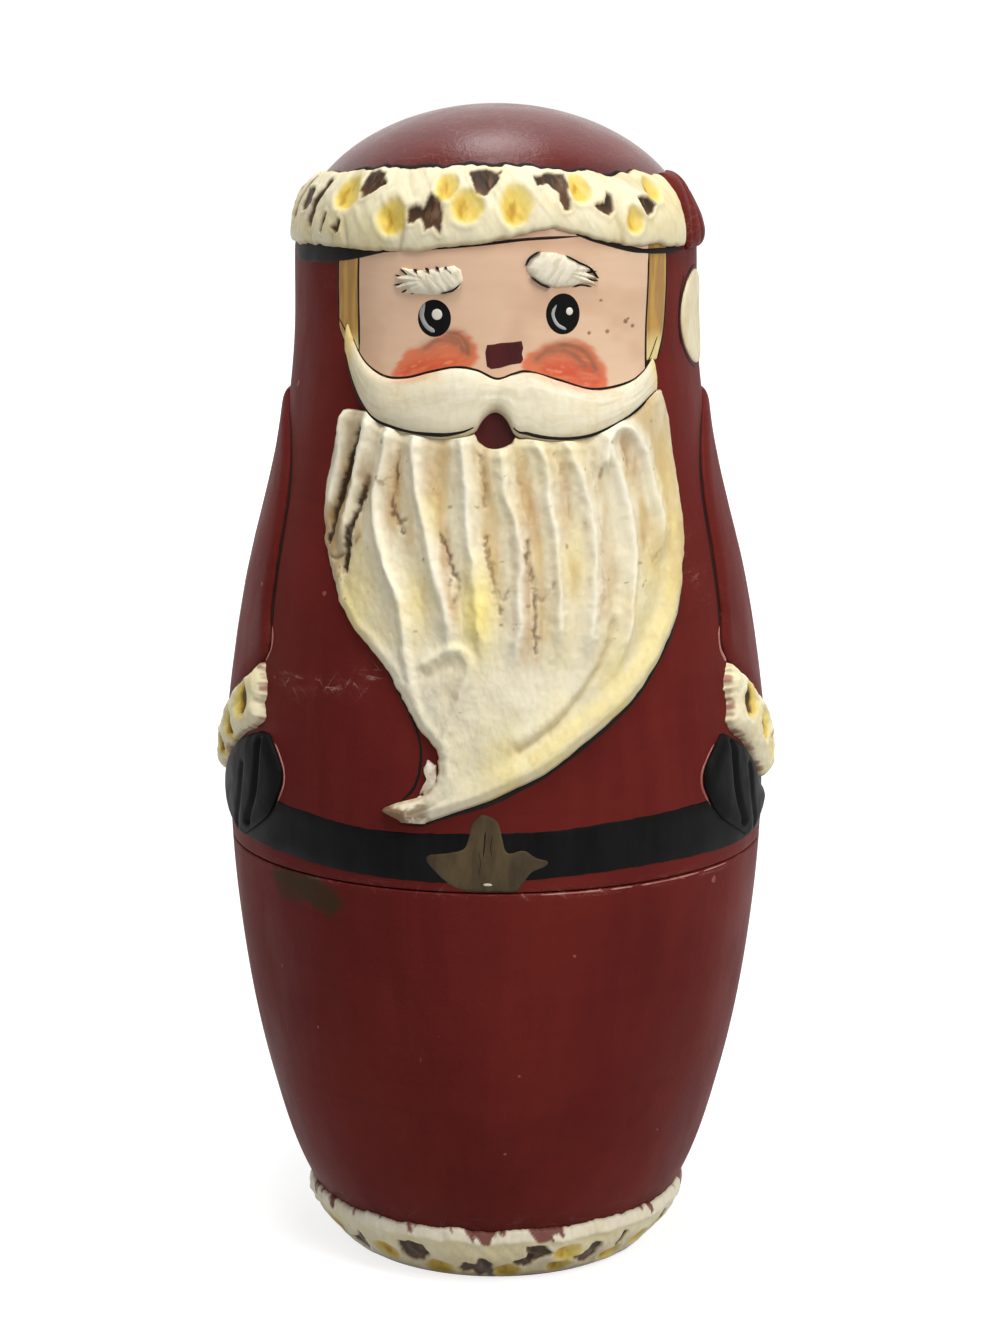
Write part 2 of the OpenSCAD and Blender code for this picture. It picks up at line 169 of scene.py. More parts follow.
def sway(x, y, seed=0, octaves=3):
    """Noise of several sizes around 0."""
    return cloud(x, y, seed, octaves) - 0.5


def around(th, z, radius, fx, fz, seed, octaves=3):
    """Noise on a turned skin that meets itself at the back."""
    x = np.radians(th) * radius
    w = ease((-th - 150) / 30)
    here = cloud(x * fx, z * fz, seed, octaves)
    past = cloud((x + 2 * math.pi * radius) * fx, z * fz, seed, octaves)
    return (1 - w) * here + w * past


def flat(th, z):
    """Angle and height to millimetres on the unrolled skin."""
    return np.radians(th) * profile(z), np.asarray(z, float)


def distance(x, y, line, closed=False):
    """Least distance from points to a line given as angle and height."""
    p = np.asarray(line, float)
    if closed:
        p = np.vstack([p, p[:1]])
    px, py = flat(p[:, 0], p[:, 1])
    best = np.full(np.shape(x), FAR_OFF)
    for a in range(len(px) - 1):
        ex, ey = px[a + 1] - px[a], py[a + 1] - py[a]
        t = np.clip(((x - px[a]) * ex + (y - py[a]) * ey) / max(ex * ex + ey * ey, 1e-9), 0, 1)
        best = np.minimum(best, (x - px[a] - t * ex) ** 2 + (y - py[a] - t * ey) ** 2)
    return np.sqrt(best)


def smooth_line(points, n, closed=False):
    """Evenly spread points on a smooth curve through a few points of any dimension."""
    p = np.asarray(points, float)
    if closed:
        p = np.vstack([p[-1:], p, p[:2]])
    else:
        p = np.vstack([2 * p[0] - p[1], p, 2 * p[-1] - p[-2]])
    out = []
    for i in range(1, len(p) - 2):
        t = np.linspace(0, 1, 25)[:-1, None]
        a, b, c, d = p[i - 1], p[i], p[i + 1], p[i + 2]
        out.append(0.5 * (2 * b + (c - a) * t + (2 * a - 5 * b + 4 * c - d) * t**2 + (3 * b - a - 3 * c + d) * t**3))
    out.append(p[-2][None])
    q = np.vstack(out)
    length = np.concatenate([[0], np.cumsum(np.linalg.norm(np.diff(q[:, :2], axis=0), axis=1))])
    at = np.linspace(0, length[-1], n + 1 if closed else n)
    if closed:
        at = at[:-1]
    return np.stack([np.interp(at, length, q[:, c]) for c in range(q.shape[1])], -1)


def plain(grid, *rgb):
    """One colour at all points of a grid."""
    return np.ones(grid.shape + (3,)) * linear(*rgb)


def blend(base, other, amount):
    """One colour laid over another by an amount from 0 to 1."""
    a = np.clip(amount, 0, 1)[..., None]
    return base * (1 - a) + np.asarray(other) * a


# Meshes
def new_object(name, verts, faces, body, material, colours=None, masks=None, slots=None, sharp=()):
    """A smooth mesh that rides on a body, with colours and masks by vertex."""
    mesh = bpy.data.meshes.new(name)
    mesh.from_pydata([tuple(v) for v in verts], [], faces)
    for m in material if isinstance(material, (list, tuple)) else [material]:
        mesh.materials.append(m)
    mesh.polygons.foreach_set("use_smooth", [True] * len(mesh.polygons))
    if slots is not None:
        mesh.polygons.foreach_set("material_index", slots)
    for label, values in (("col", colours), ("mask", masks)):
        if values is not None:
            data = np.ones((len(verts), 4))
            data[:, :np.shape(values)[1]] = values
            mesh.attributes.new(label, "FLOAT_COLOR", "POINT").data.foreach_set("color", data.ravel())
    if len(sharp):
        wanted = set(sharp)
        flags = [tuple(sorted(e.vertices)) in wanted for e in mesh.edges]
        mesh.attributes.new("sharp_edge", "BOOLEAN", "EDGE").data.foreach_set("value", flags)
    mesh.validate()
    mesh.update()
    obj = bpy.data.objects.new(name, mesh)
    bpy.context.collection.objects.link(obj)
    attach(obj, body)
    return obj


def zip_loops(fine, coarse):
    """Triangles between two closed loops of vertex numbers that run the same way."""
    n, m = len(fine), len(coarse)
    i = j = 0
    faces = []
    while i < n or j < m:
        if j >= m or (i < n and (i + 1) / n <= (j + 1) / m):
            faces.append((fine[(i + 1) % n], fine[i % n], coarse[j % m]))
            i += 1
        else:
            faces.append((fine[i % n], coarse[j % m], coarse[(j + 1) % m]))
            j += 1
    return faces


def rim_of(rows, cols, index):
    """Vertex numbers round a grid, against the clock seen from outside."""
    loop = [index(0, j) for j in range(cols)]
    loop += [index(i, cols - 1) for i in range(1, rows)]
    loop += [index(rows - 1, j) for j in range(cols - 2, -1, -1)]
    loop += [index(i, 0) for i in range(rows - 2, 0, -1)]
    return loop


def sheet(name, k, th, z, h, body, material, colours=None, ring=False, sink=0.06, coarse=6):
    """Closed sheet on doll k from grids of angle, height and lift. Its edges go down into the wood."""
    rows, cols = th.shape
    s = size_of(k)
    h = np.array(h, float)
    h[0, :] = h[-1, :] = -sink * s
    if not ring:
        h[:, 0] = h[:, -1] = -sink * s
    verts = list(place(k, th, z, h).reshape(-1, 3))
    top = lambda i, j: i * cols + j % cols
    wide = cols if ring else cols - 1
    faces = [(top(i, j), top(i, j + 1), top(i + 1, j + 1), top(i + 1, j)) for i in range(rows - 1) for j in range(wide)]
    inset = 1 if rows < 8 else 2
    ri = np.unique(np.linspace(inset, rows - 1 - inset, max(2, rows // coarse)).astype(int))
    if ring:
        cj = np.arange(0, cols, coarse // 2)
    else:
        edge = 1 if cols < 8 else 2
        cj = np.unique(np.linspace(edge, cols - 1 - edge, max(2, cols // coarse)).astype(int))
    back = place(k, th[np.ix_(ri, cj)], z[np.ix_(ri, cj)], np.full((len(ri), len(cj)), -2 * sink * s))
    first = len(verts)
    verts += list(back.reshape(-1, 3))
    m, n = len(ri), len(cj)
    low = lambda i, j: first + i * n + j % n
    faces += [(low(i, j), low(i + 1, j), low(i + 1, j + 1), low(i, j + 1)) for i in range(m - 1)
        for j in range(n if ring else n - 1)]
    if ring:
        bottom = zip_loops([top(0, j) for j in range(cols)], [low(0, j) for j in range(n)])
        upper = zip_loops([top(rows - 1, j) for j in range(cols)], [low(m - 1, j) for j in range(n)])
        faces += bottom + [f[::-1] for f in upper]
    else:
        faces += zip_loops(rim_of(rows, cols, top), rim_of(m, n, low))
    if colours is not None:
        behind = colours[np.ix_(ri, cj)].reshape(-1, 3)
        colours = np.vstack([colours.reshape(-1, 3), behind])
    return new_object(name, verts, faces, body, material, colours)


def blot(k, outline, rings, lift, soft=0.25, n=96, wave=0.0, seed=0, smooth=True):
    """A dab of paint inside a closed outline of angle and height: vertices, faces."""
    s = size_of(k)
    loop = smooth_line(outline, n, closed=True) if smooth else corner_line(outline, n)
    centre = loop.mean(0)
    t = np.linspace(0, 1, n, endpoint=False)
    if wave:
        loop = centre + (loop - centre) * (1 + wave * sway(t * 14, 0 * t, seed))[:, None]
    verts, faces = [], []
    for r in range(rings):
        f = 1 - r / rings
        ring = centre + (loop - centre) * f
        rise = lift * ease(r / rings / soft)
        verts += list(place(k, ring[:, 0], ring[:, 1], (-0.03 if r == 0 else max(rise, 0.3 * lift)) * s * np.ones(n)))
    verts.append(place(k, centre[0], centre[1], lift * s))
    verts.append(place(k, centre[0], centre[1], -0.06 * s))
    for r in range(rings - 1):
        for j in range(n):
            a, b = r * n + j, r * n + (j + 1) % n
            faces.append((a, b, b + n, a + n))
    last = (rings - 1) * n
    for j in range(n):
        faces.append((last + j, last + (j + 1) % n, rings * n))
        faces.append(((j + 1) % n, j, rings * n + 1))
    return verts, faces


def corner_line(points, n):
    """Points along a closed outline that keeps its corners."""
    p = np.vstack([np.asarray(points, float), np.asarray(points[:1], float)])
    length = np.concatenate([[0], np.cumsum(np.linalg.norm(np.diff(p, axis=0), axis=1))])
    at = np.linspace(0, length[-1], n, endpoint=False)
    return np.stack([np.interp(at, length, p[:, c]) for c in range(2)], -1)


def stroke(k, points, width, lift=0.07, taper=(0.35, 0.35), wobble=0.15, seed=0):
    """A brush line along points of angle and height (and lift, where given): vertices, faces."""
    s = size_of(k)
    p = np.asarray(points, float)
    if p.shape[1] == 2:
        p = np.column_stack([p, np.zeros(len(p))])
    x, y = flat(p[:, 0], p[:, 1])
    n = max(12, int(np.hypot(np.diff(x), np.diff(y)).sum() / 0.45))
    q = smooth_line(p, n)
    x, y = flat(q[:, 0], q[:, 1])
    dx, dy = np.gradient(x), np.gradient(y)
    long = np.maximum(np.hypot(dx, dy), 1e-9)
    nx, ny = -dy / long, dx / long
    t = np.linspace(0, 1, n)
    w = width / 2 * np.minimum(ease(t / 0.12 * 0.5 + taper[0]), ease((1 - t) / 0.12 * 0.5 + taper[1]))
    w = w * (1 + wobble * 2 * sway(t * n / 9, t * 0, seed))
    verts, faces = [], []
    across = [(-1.0, -0.03), (-0.8, 0.6 * lift), (0.0, lift), (0.8, 0.6 * lift), (1.0, -0.03)]
    for f, up in across:
        xx, yy = x + nx * w * f, y + ny * w * f
        th = np.degrees(xx / np.maximum(profile(yy), 1.0))
        verts += list(place(k, th, yy, (q[:, 2] + up) * s))
    m = len(across)
    for a in range(m - 1):
        for i in range(n - 1):
            faces.append((a * n + i, a * n + i + 1, (a + 1) * n + i + 1, (a + 1) * n + i)[::-1])
    for i in range(n - 1):
        faces.append((i, i + 1, (m - 1) * n + i + 1, (m - 1) * n + i))
    faces.append(tuple(a * n for a in range(m)))
    faces.append(tuple(a * n + n - 1 for a in range(m))[::-1])
    return verts, faces


def gather(name, pieces, body, material):
    """One object from several sets of vertices and faces."""
    verts, faces = [], []
    for v, f in pieces:
        n = len(verts)
        verts += list(v)
        faces += [tuple(i + n for i in face) for face in f]
    return new_object(name, verts, faces, body, material)


# Materials
class Nodes:
    """Short hand for one material's node tree."""

    def __init__(self, name):
        self.mat = bpy.data.materials.new(name)
        self.mat.use_nodes = True
        self.tree = self.mat.node_tree
        self.shader = self.tree.nodes["Principled BSDF"]
        self.where = self.add("ShaderNodeTexCoord").outputs["Object"]

    def add(self, kind, **values):
        node = self.tree.nodes.new(kind)
        for key, value in values.items():
            setattr(node, key, value)
        return node

    def link(self, a, b):
        self.tree.links.new(a, b)

    def stretched(self, scale, turn=None):
        node = self.add("ShaderNodeMapping")
        if turn is None:
            node.inputs["Scale"].default_value = scale
        else:
            node.vector_type = "TEXTURE"
            node.inputs["Scale"].default_value = tuple(1 / v for v in scale)
            node.inputs["Rotation"].default_value = tuple(math.radians(v) for v in turn)
        self.link(self.where, node.inputs["Vector"])
        return node.outputs["Vector"]

    def noise(self, scale, stretch=(1, 1, 1), detail=4.0, rough=0.55, distortion=0.0, turn=None):
        node = self.add("ShaderNodeTexNoise")
        node.inputs["Scale"].default_value = scale
        node.inputs["Detail"].default_value = detail
        node.inputs["Roughness"].default_value = rough
        node.inputs["Distortion"].default_value = distortion
        self.link(self.stretched(stretch, turn), node.inputs["Vector"])
        return node.outputs["Fac"]

    def ramp(self, value, low, high, to_low=0.0, to_high=1.0):
        node = self.add("ShaderNodeMapRange", interpolation_type="SMOOTHSTEP")
        node.inputs["From Min"].default_value = low
        node.inputs["From Max"].default_value = high
        node.inputs["To Min"].default_value = to_low
        node.inputs["To Max"].default_value = to_high
        self.link(value, node.inputs["Value"])
        return node.outputs["Result"]

    def math(self, op, a, b=None):
        node = self.add("ShaderNodeMath", operation=op)
        for socket, value in zip(node.inputs, (a, b)):
            if value is None:
                continue
            if isinstance(value, (int, float)):
                socket.default_value = value
            else:
                self.link(value, socket)
        return node.outputs[0]

    def mix(self, fac, a, b, kind="MIX"):
        node = self.add("ShaderNodeMix", data_type="RGBA", blend_type=kind)
        for name, value in (("Factor_Float", fac), ("A_Color", a), ("B_Color", b)):
            socket = next(i for i in node.inputs if i.identifier == name)
            if isinstance(value, (int, float)):
                socket.default_value = value
            elif isinstance(value, (tuple, list, np.ndarray)):
                socket.default_value = tuple(value) + (1.0,)
            else:
                self.link(value, socket)
        return next(o for o in node.outputs if o.identifier == "Result_Color")

    def attribute(self, name):
        return self.add("ShaderNodeAttribute", attribute_type="GEOMETRY", attribute_name=name)

    def parts(self, colour):
        node = self.add("ShaderNodeSeparateColor")
        self.link(colour, node.inputs[0])
        return node.outputs

    def bump(self, height, strength, distance_mm):
        node = self.add("ShaderNodeBump")
        node.inputs["Strength"].default_value = strength
        node.inputs["Distance"].default_value = distance_mm * MM
        self.link(height, node.inputs["Height"])
        return node

    def done(self, colour, rough, bumps=()):
        self.link(colour, self.shader.inputs["Base Color"])
        if isinstance(rough, (int, float)):
            self.shader.inputs["Roughness"].default_value = rough
        else:
            self.link(rough, self.shader.inputs["Roughness"])
        last = None
        for node in bumps:
            if last is not None:
                self.link(last.outputs["Normal"], node.inputs["Normal"])
            last = node
        if last is not None:
            self.link(last.outputs["Normal"], self.shader.inputs["Normal"])
        return self.mat


def coat_material():
    """Red paint brushed over wood, with faint brush marks, darker patches, scuffs and rubbed edges; painted shade at
    the hat band and the hem, and a painted pink sheen on the crown's top and on the seam's lit right side.
    """
    n = Nodes("coat_paint")
    source = n.attribute("mask")
    mask = n.parts(source.outputs["Color"])
    crown = source.outputs["Alpha"]
    patches = n.noise(20, (1, 1, 0.8), 5, 0.6, 0.5)
    strokes = n.noise(300, (1, 1, 0.05), 4, 0.6)
    rings = n.noise(520, (0.05, 0.05, 1), 3, 0.6)
    red = n.mix(n.ramp(patches, 0.32, 0.68), linear(92, 29, 27), linear(108, 37, 31))
    red = n.mix(n.ramp(strokes, 0.4, 0.78, 0, 0.2), red, linear(124, 44, 38))
    red = n.mix(n.ramp(rings, 0.45, 0.8, 0, 0.22), red, linear(82, 26, 25))
    # Painted shade and grime: the mask's third channel darkens the red, broken up by this noise.
    grime_and_shade = n.ramp(n.noise(90, (1, 1, 0.5), 6, 0.65), 0.35, 0.75)
    red = n.mix(n.math("MULTIPLY", mask[2], n.math("ADD", n.math("MULTIPLY", grime_and_shade, 0.6), 0.4)), red,
        linear(50, 20, 19))
    smear = n.ramp(n.noise(330, (0.2, 0.2, 1), 4, 0.7), 0.2, 0.46)
    red = n.mix(n.math("MULTIPLY", mask[1], smear), red, linear(62, 43, 27))
    level = n.ramp(n.noise(1300, (0.1, 0.1, 1), 3, 0.7, 0.9), 0.58, 0.66)
    slant = n.ramp(n.noise(1200, (0.1, 0.1, 1), 3, 0.7, 0.9, (24, 38, 0)), 0.6, 0.67)
    other = n.ramp(n.noise(1200, (0.1, 0.1, 1), 3, 0.7, 0.9, (-20, -52, 0)), 0.6, 0.67)
    speckle = n.ramp(n.noise(2600, (1, 1, 1), 2, 0.6), 0.38, 0.58, 0.25, 1)
    worn = n.math("MULTIPLY", n.math("MAXIMUM", level, n.math("MAXIMUM", slant, other)),
        n.math("MULTIPLY", mask[0], speckle))
    red = n.mix(n.math("MULTIPLY", worn, 0.8), red, linear(198, 152, 144))
    # The mask's first channel also gives a pale pink haze: scuffed paint, and a painted sheen on the crown's top and
    # the seam's lit side.
    haze_and_highlight = n.math("MULTIPLY", mask[0], n.ramp(n.noise(700, (0.4, 0.4, 1), 5, 0.7), 0.4, 0.7, 0, 0.3))
    red = n.mix(haze_and_highlight, red, linear(168, 104, 98))
    specks = n.ramp(n.noise(420, (1, 1, 1), 1, 0.5), 0.79, 0.81, 0, 0.5)
    red = n.mix(specks, red, linear(176, 112, 104))
    rough = n.math("SUBTRACT", n.ramp(n.noise(120, (1, 1, 0.4), 4, 0.6), 0.3, 0.7, 0.46, 0.58),
        n.math("MULTIPLY", crown, 0.27))
    n.link(n.math("ADD", n.math("MULTIPLY", crown, 0.36), 0.045), n.shader.inputs["Specular IOR Level"])
    grain = n.noise(1500, (1, 1, 1), 4, 0.7)
    return n.done(red, rough, [n.bump(strokes, 0.2, 0.05), n.bump(rings, 0.2, 0.05), n.bump(grain, 0.6, 0.09)])


def wood_material():
    """Bare turned limewood, for the insides, the spigots and the base."""
    n = Nodes("bare_wood")
    grain = n.noise(300, (1, 1, 0.05), 6, 0.65, 0.4)
    turned = n.noise(1100, (0.03, 0.03, 1), 2, 0.5)
    tone = n.mix(n.ramp(grain, 0.3, 0.75), linear(214, 180, 130), linear(178, 138, 90))
    tone = n.mix(n.ramp(turned, 0.45, 0.8, 0, 0.35), tone, linear(150, 112, 72))
    tone = n.mix(n.ramp(n.noise(60, (1, 1, 0.4), 3), 0.4, 0.75, 0, 0.3), tone, linear(225, 198, 156))
    rough = n.ramp(grain, 0.3, 0.7, 0.55, 0.72)
    return n.done(tone, rough, [n.bump(turned, 0.3, 0.08), n.bump(grain, 0.25, 0.05)])


def fur_material():
    """Cream paste: painted colours come with the mesh, and fine brushing and cracks are added."""
    n = Nodes("cream_paste")
    colour = n.attribute("col").outputs["Color"]
    fine = n.noise(950, (1, 1, 0.5), 4, 0.65)
    warm = n.noise(170, (1, 1, 1), 4, 0.6)
    tone = n.mix(n.ramp(fine, 0.4, 0.75, 0, 0.16), colour, linear(190, 170, 120), "MULTIPLY")
    tone = n.mix(n.ramp(warm, 0.5, 0.75, 0, 0.3), tone, linear(244, 226, 170), "MULTIPLY")
    tone = n.mix(n.ramp(n.noise(520, (1, 1, 1), 3, 0.6), 0.72, 0.78, 0, 0.45), tone, linear(170, 144, 108), "MULTIPLY")
    rough = n.ramp(warm, 0.3, 0.7, 0.36, 0.52)
    n.shader.inputs["Specular IOR Level"].default_value = 0.15
    return n.done(tone, rough, [n.bump(n.noise(420, (1, 1, 0.6), 4, 0.6), 0.35, 0.12), n.bump(fine, 0.2, 0.04)])


def skin_material():
    """Flesh paint over wood: the blush comes with the mesh."""
    n = Nodes("flesh_paint")
    colour = n.attribute("col").outputs["Color"]
    brush = n.noise(420, (0.2, 0.2, 1), 4, 0.6)
    tone = n.mix(n.ramp(brush, 0.35, 0.75, 0, 0.16), colour, linear(226, 204, 186), "MULTIPLY")
    tone = n.mix(n.ramp(n.noise(80, (1, 1, 1), 3), 0.45, 0.7, 0, 0.06), tone, linear(244, 214, 186))
    rough = n.ramp(brush, 0.3, 0.7, 0.34, 0.46)
    return n.done(tone, rough, [n.bump(brush, 0.2, 0.05)])


def paint_material(name, light, dark, rough, flecks=None, scale=300, stretch=(1, 1, 0.2), gloss=0.4):
    """A brushed paint of two close tones, with an optional lighter wear."""
    n = Nodes(name)
    brush = n.noise(scale, stretch, 4, 0.6)
    tone = n.mix(n.ramp(brush, 0.3, 0.72), dark, light)
    if flecks is not None:
        tone = n.mix(n.ramp(n.noise(800, (0.3, 0.3, 1), 3, 0.7), 0.68, 0.74, 0, 0.5), tone, flecks)
    shine = n.ramp(n.noise(150, (1, 1, 1), 3), 0.3, 0.7, rough - 0.05, rough + 0.08)
    n.shader.inputs["Specular IOR Level"].default_value = gloss
    return n.done(tone, shine, [n.bump(brush, 0.22, 0.05)])


COAT = coat_material()
WOOD = wood_material()
FUR = fur_material()
SKIN = skin_material()
BLACK = paint_material("black_paint", linear(22, 21, 21), linear(13, 12, 12), 0.5, linear(50, 46, 42), gloss=0.06)
LINE = paint_material("line_paint", linear(32, 26, 23), linear(18, 15, 14), 0.55, gloss=0.12)
MAROON = paint_material("maroon_paint", linear(80, 28, 28), linear(60, 21, 21), 0.45, gloss=0.18)
GOLD = paint_material("dull_gold_paint", linear(88, 73, 48), linear(58, 46, 29), 0.5, linear(116, 98, 64), 420,
    (1, 1, 0.25), gloss=0.2)
WHITE = paint_material("white_paint", linear(240, 235, 222), linear(220, 212, 194), 0.4)
PASTE = paint_material("bare_paste", linear(232, 224, 208), linear(196, 178, 150), 0.6, linear(130, 98, 70), 700,
    (1, 1, 1), gloss=0.2)
# Pale pink paint for rubbed edges, and for painted highlights along the seam and the mittens.
RUBBED_AND_HIGHLIT = paint_material("rubbed_and_highlit_edge", linear(196, 140, 128), linear(150, 84, 76), 0.55, gloss=0.2)
GREY = paint_material("grey_paint", linear(186, 186, 184), linear(140, 140, 142), 0.4)

CREAM = linear(236, 225, 188)
PALE = linear(243, 236, 210)
YELLOW = linear(224, 188, 66)
OCHRE = linear(184, 138, 36)
STRAW = linear(234, 216, 146)
BROWN = linear(88, 60, 40)
UMBER = linear(150, 112, 68)
SOOT = linear(46, 29, 19)
# Tint that darkens cream paste as painted shade.
SHADE_TINT = np.array([0.42, 0.36, 0.27])


# Turned shells
def arc_points(centre, radius, start, stop, n):
    """Points on an arc, by radius and height."""
    a = np.radians(np.linspace(start, stop, n))
    return [(centre[0] + radius * math.cos(t), centre[1] + radius * math.sin(t)) for t in a]


def lathe(name, k, rows, segments, body, masks_at):
    """A closed turned solid from rows of (radius, height, bare, sharp), in millimetres of doll k."""
    th = np.linspace(0, 2 * math.pi, segments, endpoint=False) + math.pi / 2
    verts, starts, faces, slots, masks = [], [], [], [], []
    lift = base_of(k)
    for r, z, bare, _ in rows:
        starts.append(len(verts))
        if r < ON_AXIS:
            verts.append((0.0, 0.0, (z + lift) * MM))
            masks.append((0.0, 0.0, 0.0, 1.0 if z > 0.5 * size_of(k) * HEIGHT and not bare else 0.0))
        else:
            for t in th:
                verts.append((r * math.cos(t) * MM, r * math.sin(t) * MM, (z + lift) * MM))
            masks += list(masks_at(np.degrees(th) + 90, np.full(segments, z / size_of(k)), bare))
    hard = []
    for i in range(len(rows) - 1):
        a, b = starts[i], starts[i + 1]
        slot = 1 if rows[i][2] and rows[i + 1][2] else 0
        for j in range(segments):
            q = (j + 1) % segments
            if rows[i][0] < ON_AXIS:
                faces.append((a, b + q, b + j))
            elif rows[i + 1][0] < ON_AXIS:
                faces.append((a + j, a + q, b))
            else:
                faces.append((a + j, a + q, b + q, b + j))
            slots.append(slot)
    for i, row in enumerate(rows):
        if row[3] and row[0] > ON_AXIS:
            hard += [tuple(sorted((starts[i] + j, starts[i] + (j + 1) % segments))) for j in range(segments)]
    return new_object(name, verts, faces, body, [COAT, WOOD], None, np.array(masks), slots, hard)


def wood(points):
    """Rows of bare wood."""
    return [(r, z, True, False) for r, z in points]


def paint(points):
    """Rows of painted wood."""
    return [(r, z, False, False) for r, z in points]


def outside(k, z0, z1, step):
    """Painted rows up the outline."""
    s = size_of(k)
    n = max(4, int((z1 - z0) / step))
    return paint((s * float(profile(z)), s * float(z)) for z in np.linspace(z0, z1, n))


def foot(s):
    """The flat base and its rounded edge."""
    flat_base = [(0, 0), (s * 12, 0), (s * (BASE_R - 1.0), 0), (s * (BASE_R - 0.4), 0.1 * s)]
    return wood(flat_base) + paint([(s * (BASE_R + 0.1), 0.5 * s)])


def dome(s, n):
    """The painted crown, up to the axis."""
    t = np.radians(np.linspace(2.5, 87.5, n))
    arc = [(s * HEAD_R * math.cos(a), s * (CROWN_Z + (HEIGHT - CROWN_Z) * math.sin(a))) for a in t]
    return paint(arc + [(0, s * HEIGHT)])


def lower_rows(k):
    """Bottom half: base, painted outside, shoulder, spigot, bore and floor."""
    s = size_of(k)
    spigot = s * (float(profile(SEAM)) - WALL / 2)
    bore = lambda z: s * (float(profile(z)) - WALL)
    mouth = bore(SEAM)
    top = s * (SEAM + SPIGOT)
    deck, fillet = s * FLOOR, 1.5 * s
    edge = s * float(profile(SEAM))
    rows = foot(s) + outside(k, 0.9, SEAM - 0.35, 0.8)
    rows += paint(arc_points((edge - 0.3 * s, s * SEAM - 0.3 * s), 0.3 * s, 20, 90, 5))
    rows += wood([(spigot + 0.25 * s, s * SEAM)]) + [(spigot, s * SEAM, True, True)]
    rows += wood([(spigot, s * (SEAM + 0.3))])
    rows += wood((spigot, z) for z in np.linspace(s * (SEAM + 1), top - 0.8 * s, 8))
    rows += wood([(spigot - 0.2 * s, top - 0.15 * s), (spigot - 0.5 * s, top)])
    rows += wood([(mouth + 0.4 * s, top), (mouth + 0.1 * s, top - 0.1 * s), (mouth, top - 0.4 * s)])
    rows += wood((mouth, z) for z in np.linspace(top - 1.2 * s, s * SEAM, 6))
    rows += wood((bore(z), s * z) for z in np.linspace(SEAM - 1.5, FLOOR + 1.5, 34))
    corner = bore(FLOOR + 1.5) - fillet
    rows += wood(arc_points((corner, deck + fillet), fillet, -18, -90, 5))
    return rows + wood([(corner * f, deck) for f in (0.8, 0.55, 0.3)] + [(0, deck)])


def upper_rows(k):
    """Top half: roof, bore, socket, rim, painted outside and crown."""
    s = size_of(k)
    rim = s * SEAM + SEAM_GAP
    step = s * (SEAM + SPIGOT) + SEAM_GAP
    socket = s * (float(profile(SEAM)) - WALL / 2) + FIT_PLAY
    roof = s * FLOOR + SEAT_GAP + size_of(k + 1) * HEIGHT + s * HEAD_GAP
    spring = roof - size_of(k + 1) * (HEIGHT - CROWN_Z)
    bore = lambda z: s * (float(profile(z / s)) - WALL)
    edge = s * float(profile(rim / s))
    arch = np.radians(np.linspace(85, 0, 22))
    rows = wood([(0, roof)])
    rows += wood((bore(spring) * math.cos(t), spring + (roof - spring) * math.sin(t)) for t in arch)
    rows += wood((bore(z), z) for z in np.linspace(spring - 1.0 * s, step + 0.4 * s, 40))
    rows += [(bore(step), step, True, True), (socket, step, True, True)]
    rows += wood((socket, z) for z in np.linspace(step - 0.4 * s, rim + 0.9 * s, 8))
    rows += wood([(socket + 0.12 * s, rim + 0.35 * s), (socket + 0.4 * s, rim), (edge - 0.6 * s, rim)])
    rows += paint(arc_points((edge - 0.3 * s, rim + 0.3 * s), 0.3 * s, -90, -10, 5))
    return rows + outside(k, rim / s + 0.45, CROWN_Z, 0.8) + dome(s, 40)


def solid_rows(k):
    """The smallest doll, one solid body."""
    s = size_of(k)
    return foot(s) + outside(k, 0.9, CROWN_Z, 1.3) + dome(s, 24)


def turned(angle):
    """An angle to -180 to 180 degrees from the front."""
    return (angle + 180) % 360 - 180


SMUDGE = [(-54.4, 65.4), (-47.0, 65.9), (-40.2, 65.9), (-36.4, 64.4), (-33.2, 62.6), (-36.6, 60.8), (-42.9, 62.0),
    (-51.8, 61.8)]
SCUFFS = [(53, 111, 7, 8, 0.3, 4, 0.6), (-54, 150, 8, 9, 0.22, 6, 0.7)]


def channels(bare, *values):
    """Mask channels by vertex, from 0 to 1, and none on bare wood."""
    return np.stack([np.clip(v, 0, 1) for v in values], -1) * (0.0 if bare else 1.0)


def lower_masks(k):
    """Wear with a painted highlight on the seam's lit right side, smudge, and grime with painted shade along the hem's
    top, of a bottom half, by angle and height.
    """
    def at(th, z, bare):
        th = turned(th)
        # Worn paint on the seam's edge, made stronger on the lit right side as a painted highlight.
        right = ease((th + 4) / 14) * ease((66 - th) / 14)
        edge = bump_at(z, SEAM, 0.5) * (0.25 + 0.75 * right) * (0.35 + 0.65 * around(th, z, 40, 0.4, 1, 3))
        wear_and_highlight = edge + 0.2 * bump_at(z, 10.6, 1.6) * around(th, z, 30, 0.3, 0.3, 5)
        smudge = np.zeros_like(th)
        if k == 0:
            x, y = flat(th, z)
            px, py = flat(np.array([p[0] for p in SMUDGE]), np.array([p[1] for p in SMUDGE]))
            gap = signed_gap(x, y, list(zip(px, py)))
            smudge = ease(0.8 - (gap + 1.2 * sway(x * 0.5, y * 0.7, 9)) / 1.3)
        # Painted shade along the top of the hem, and patches of grime.
        grime_and_shade = 0.5 * bump_at(z, 9.6, 2.0) + 0.2 * ease((around(th, z, 38, 0.05, 0.04, 2) - 0.45) * 3)
        return channels(bare, wear_and_highlight, smudge, grime_and_shade, np.zeros_like(th))
    return at


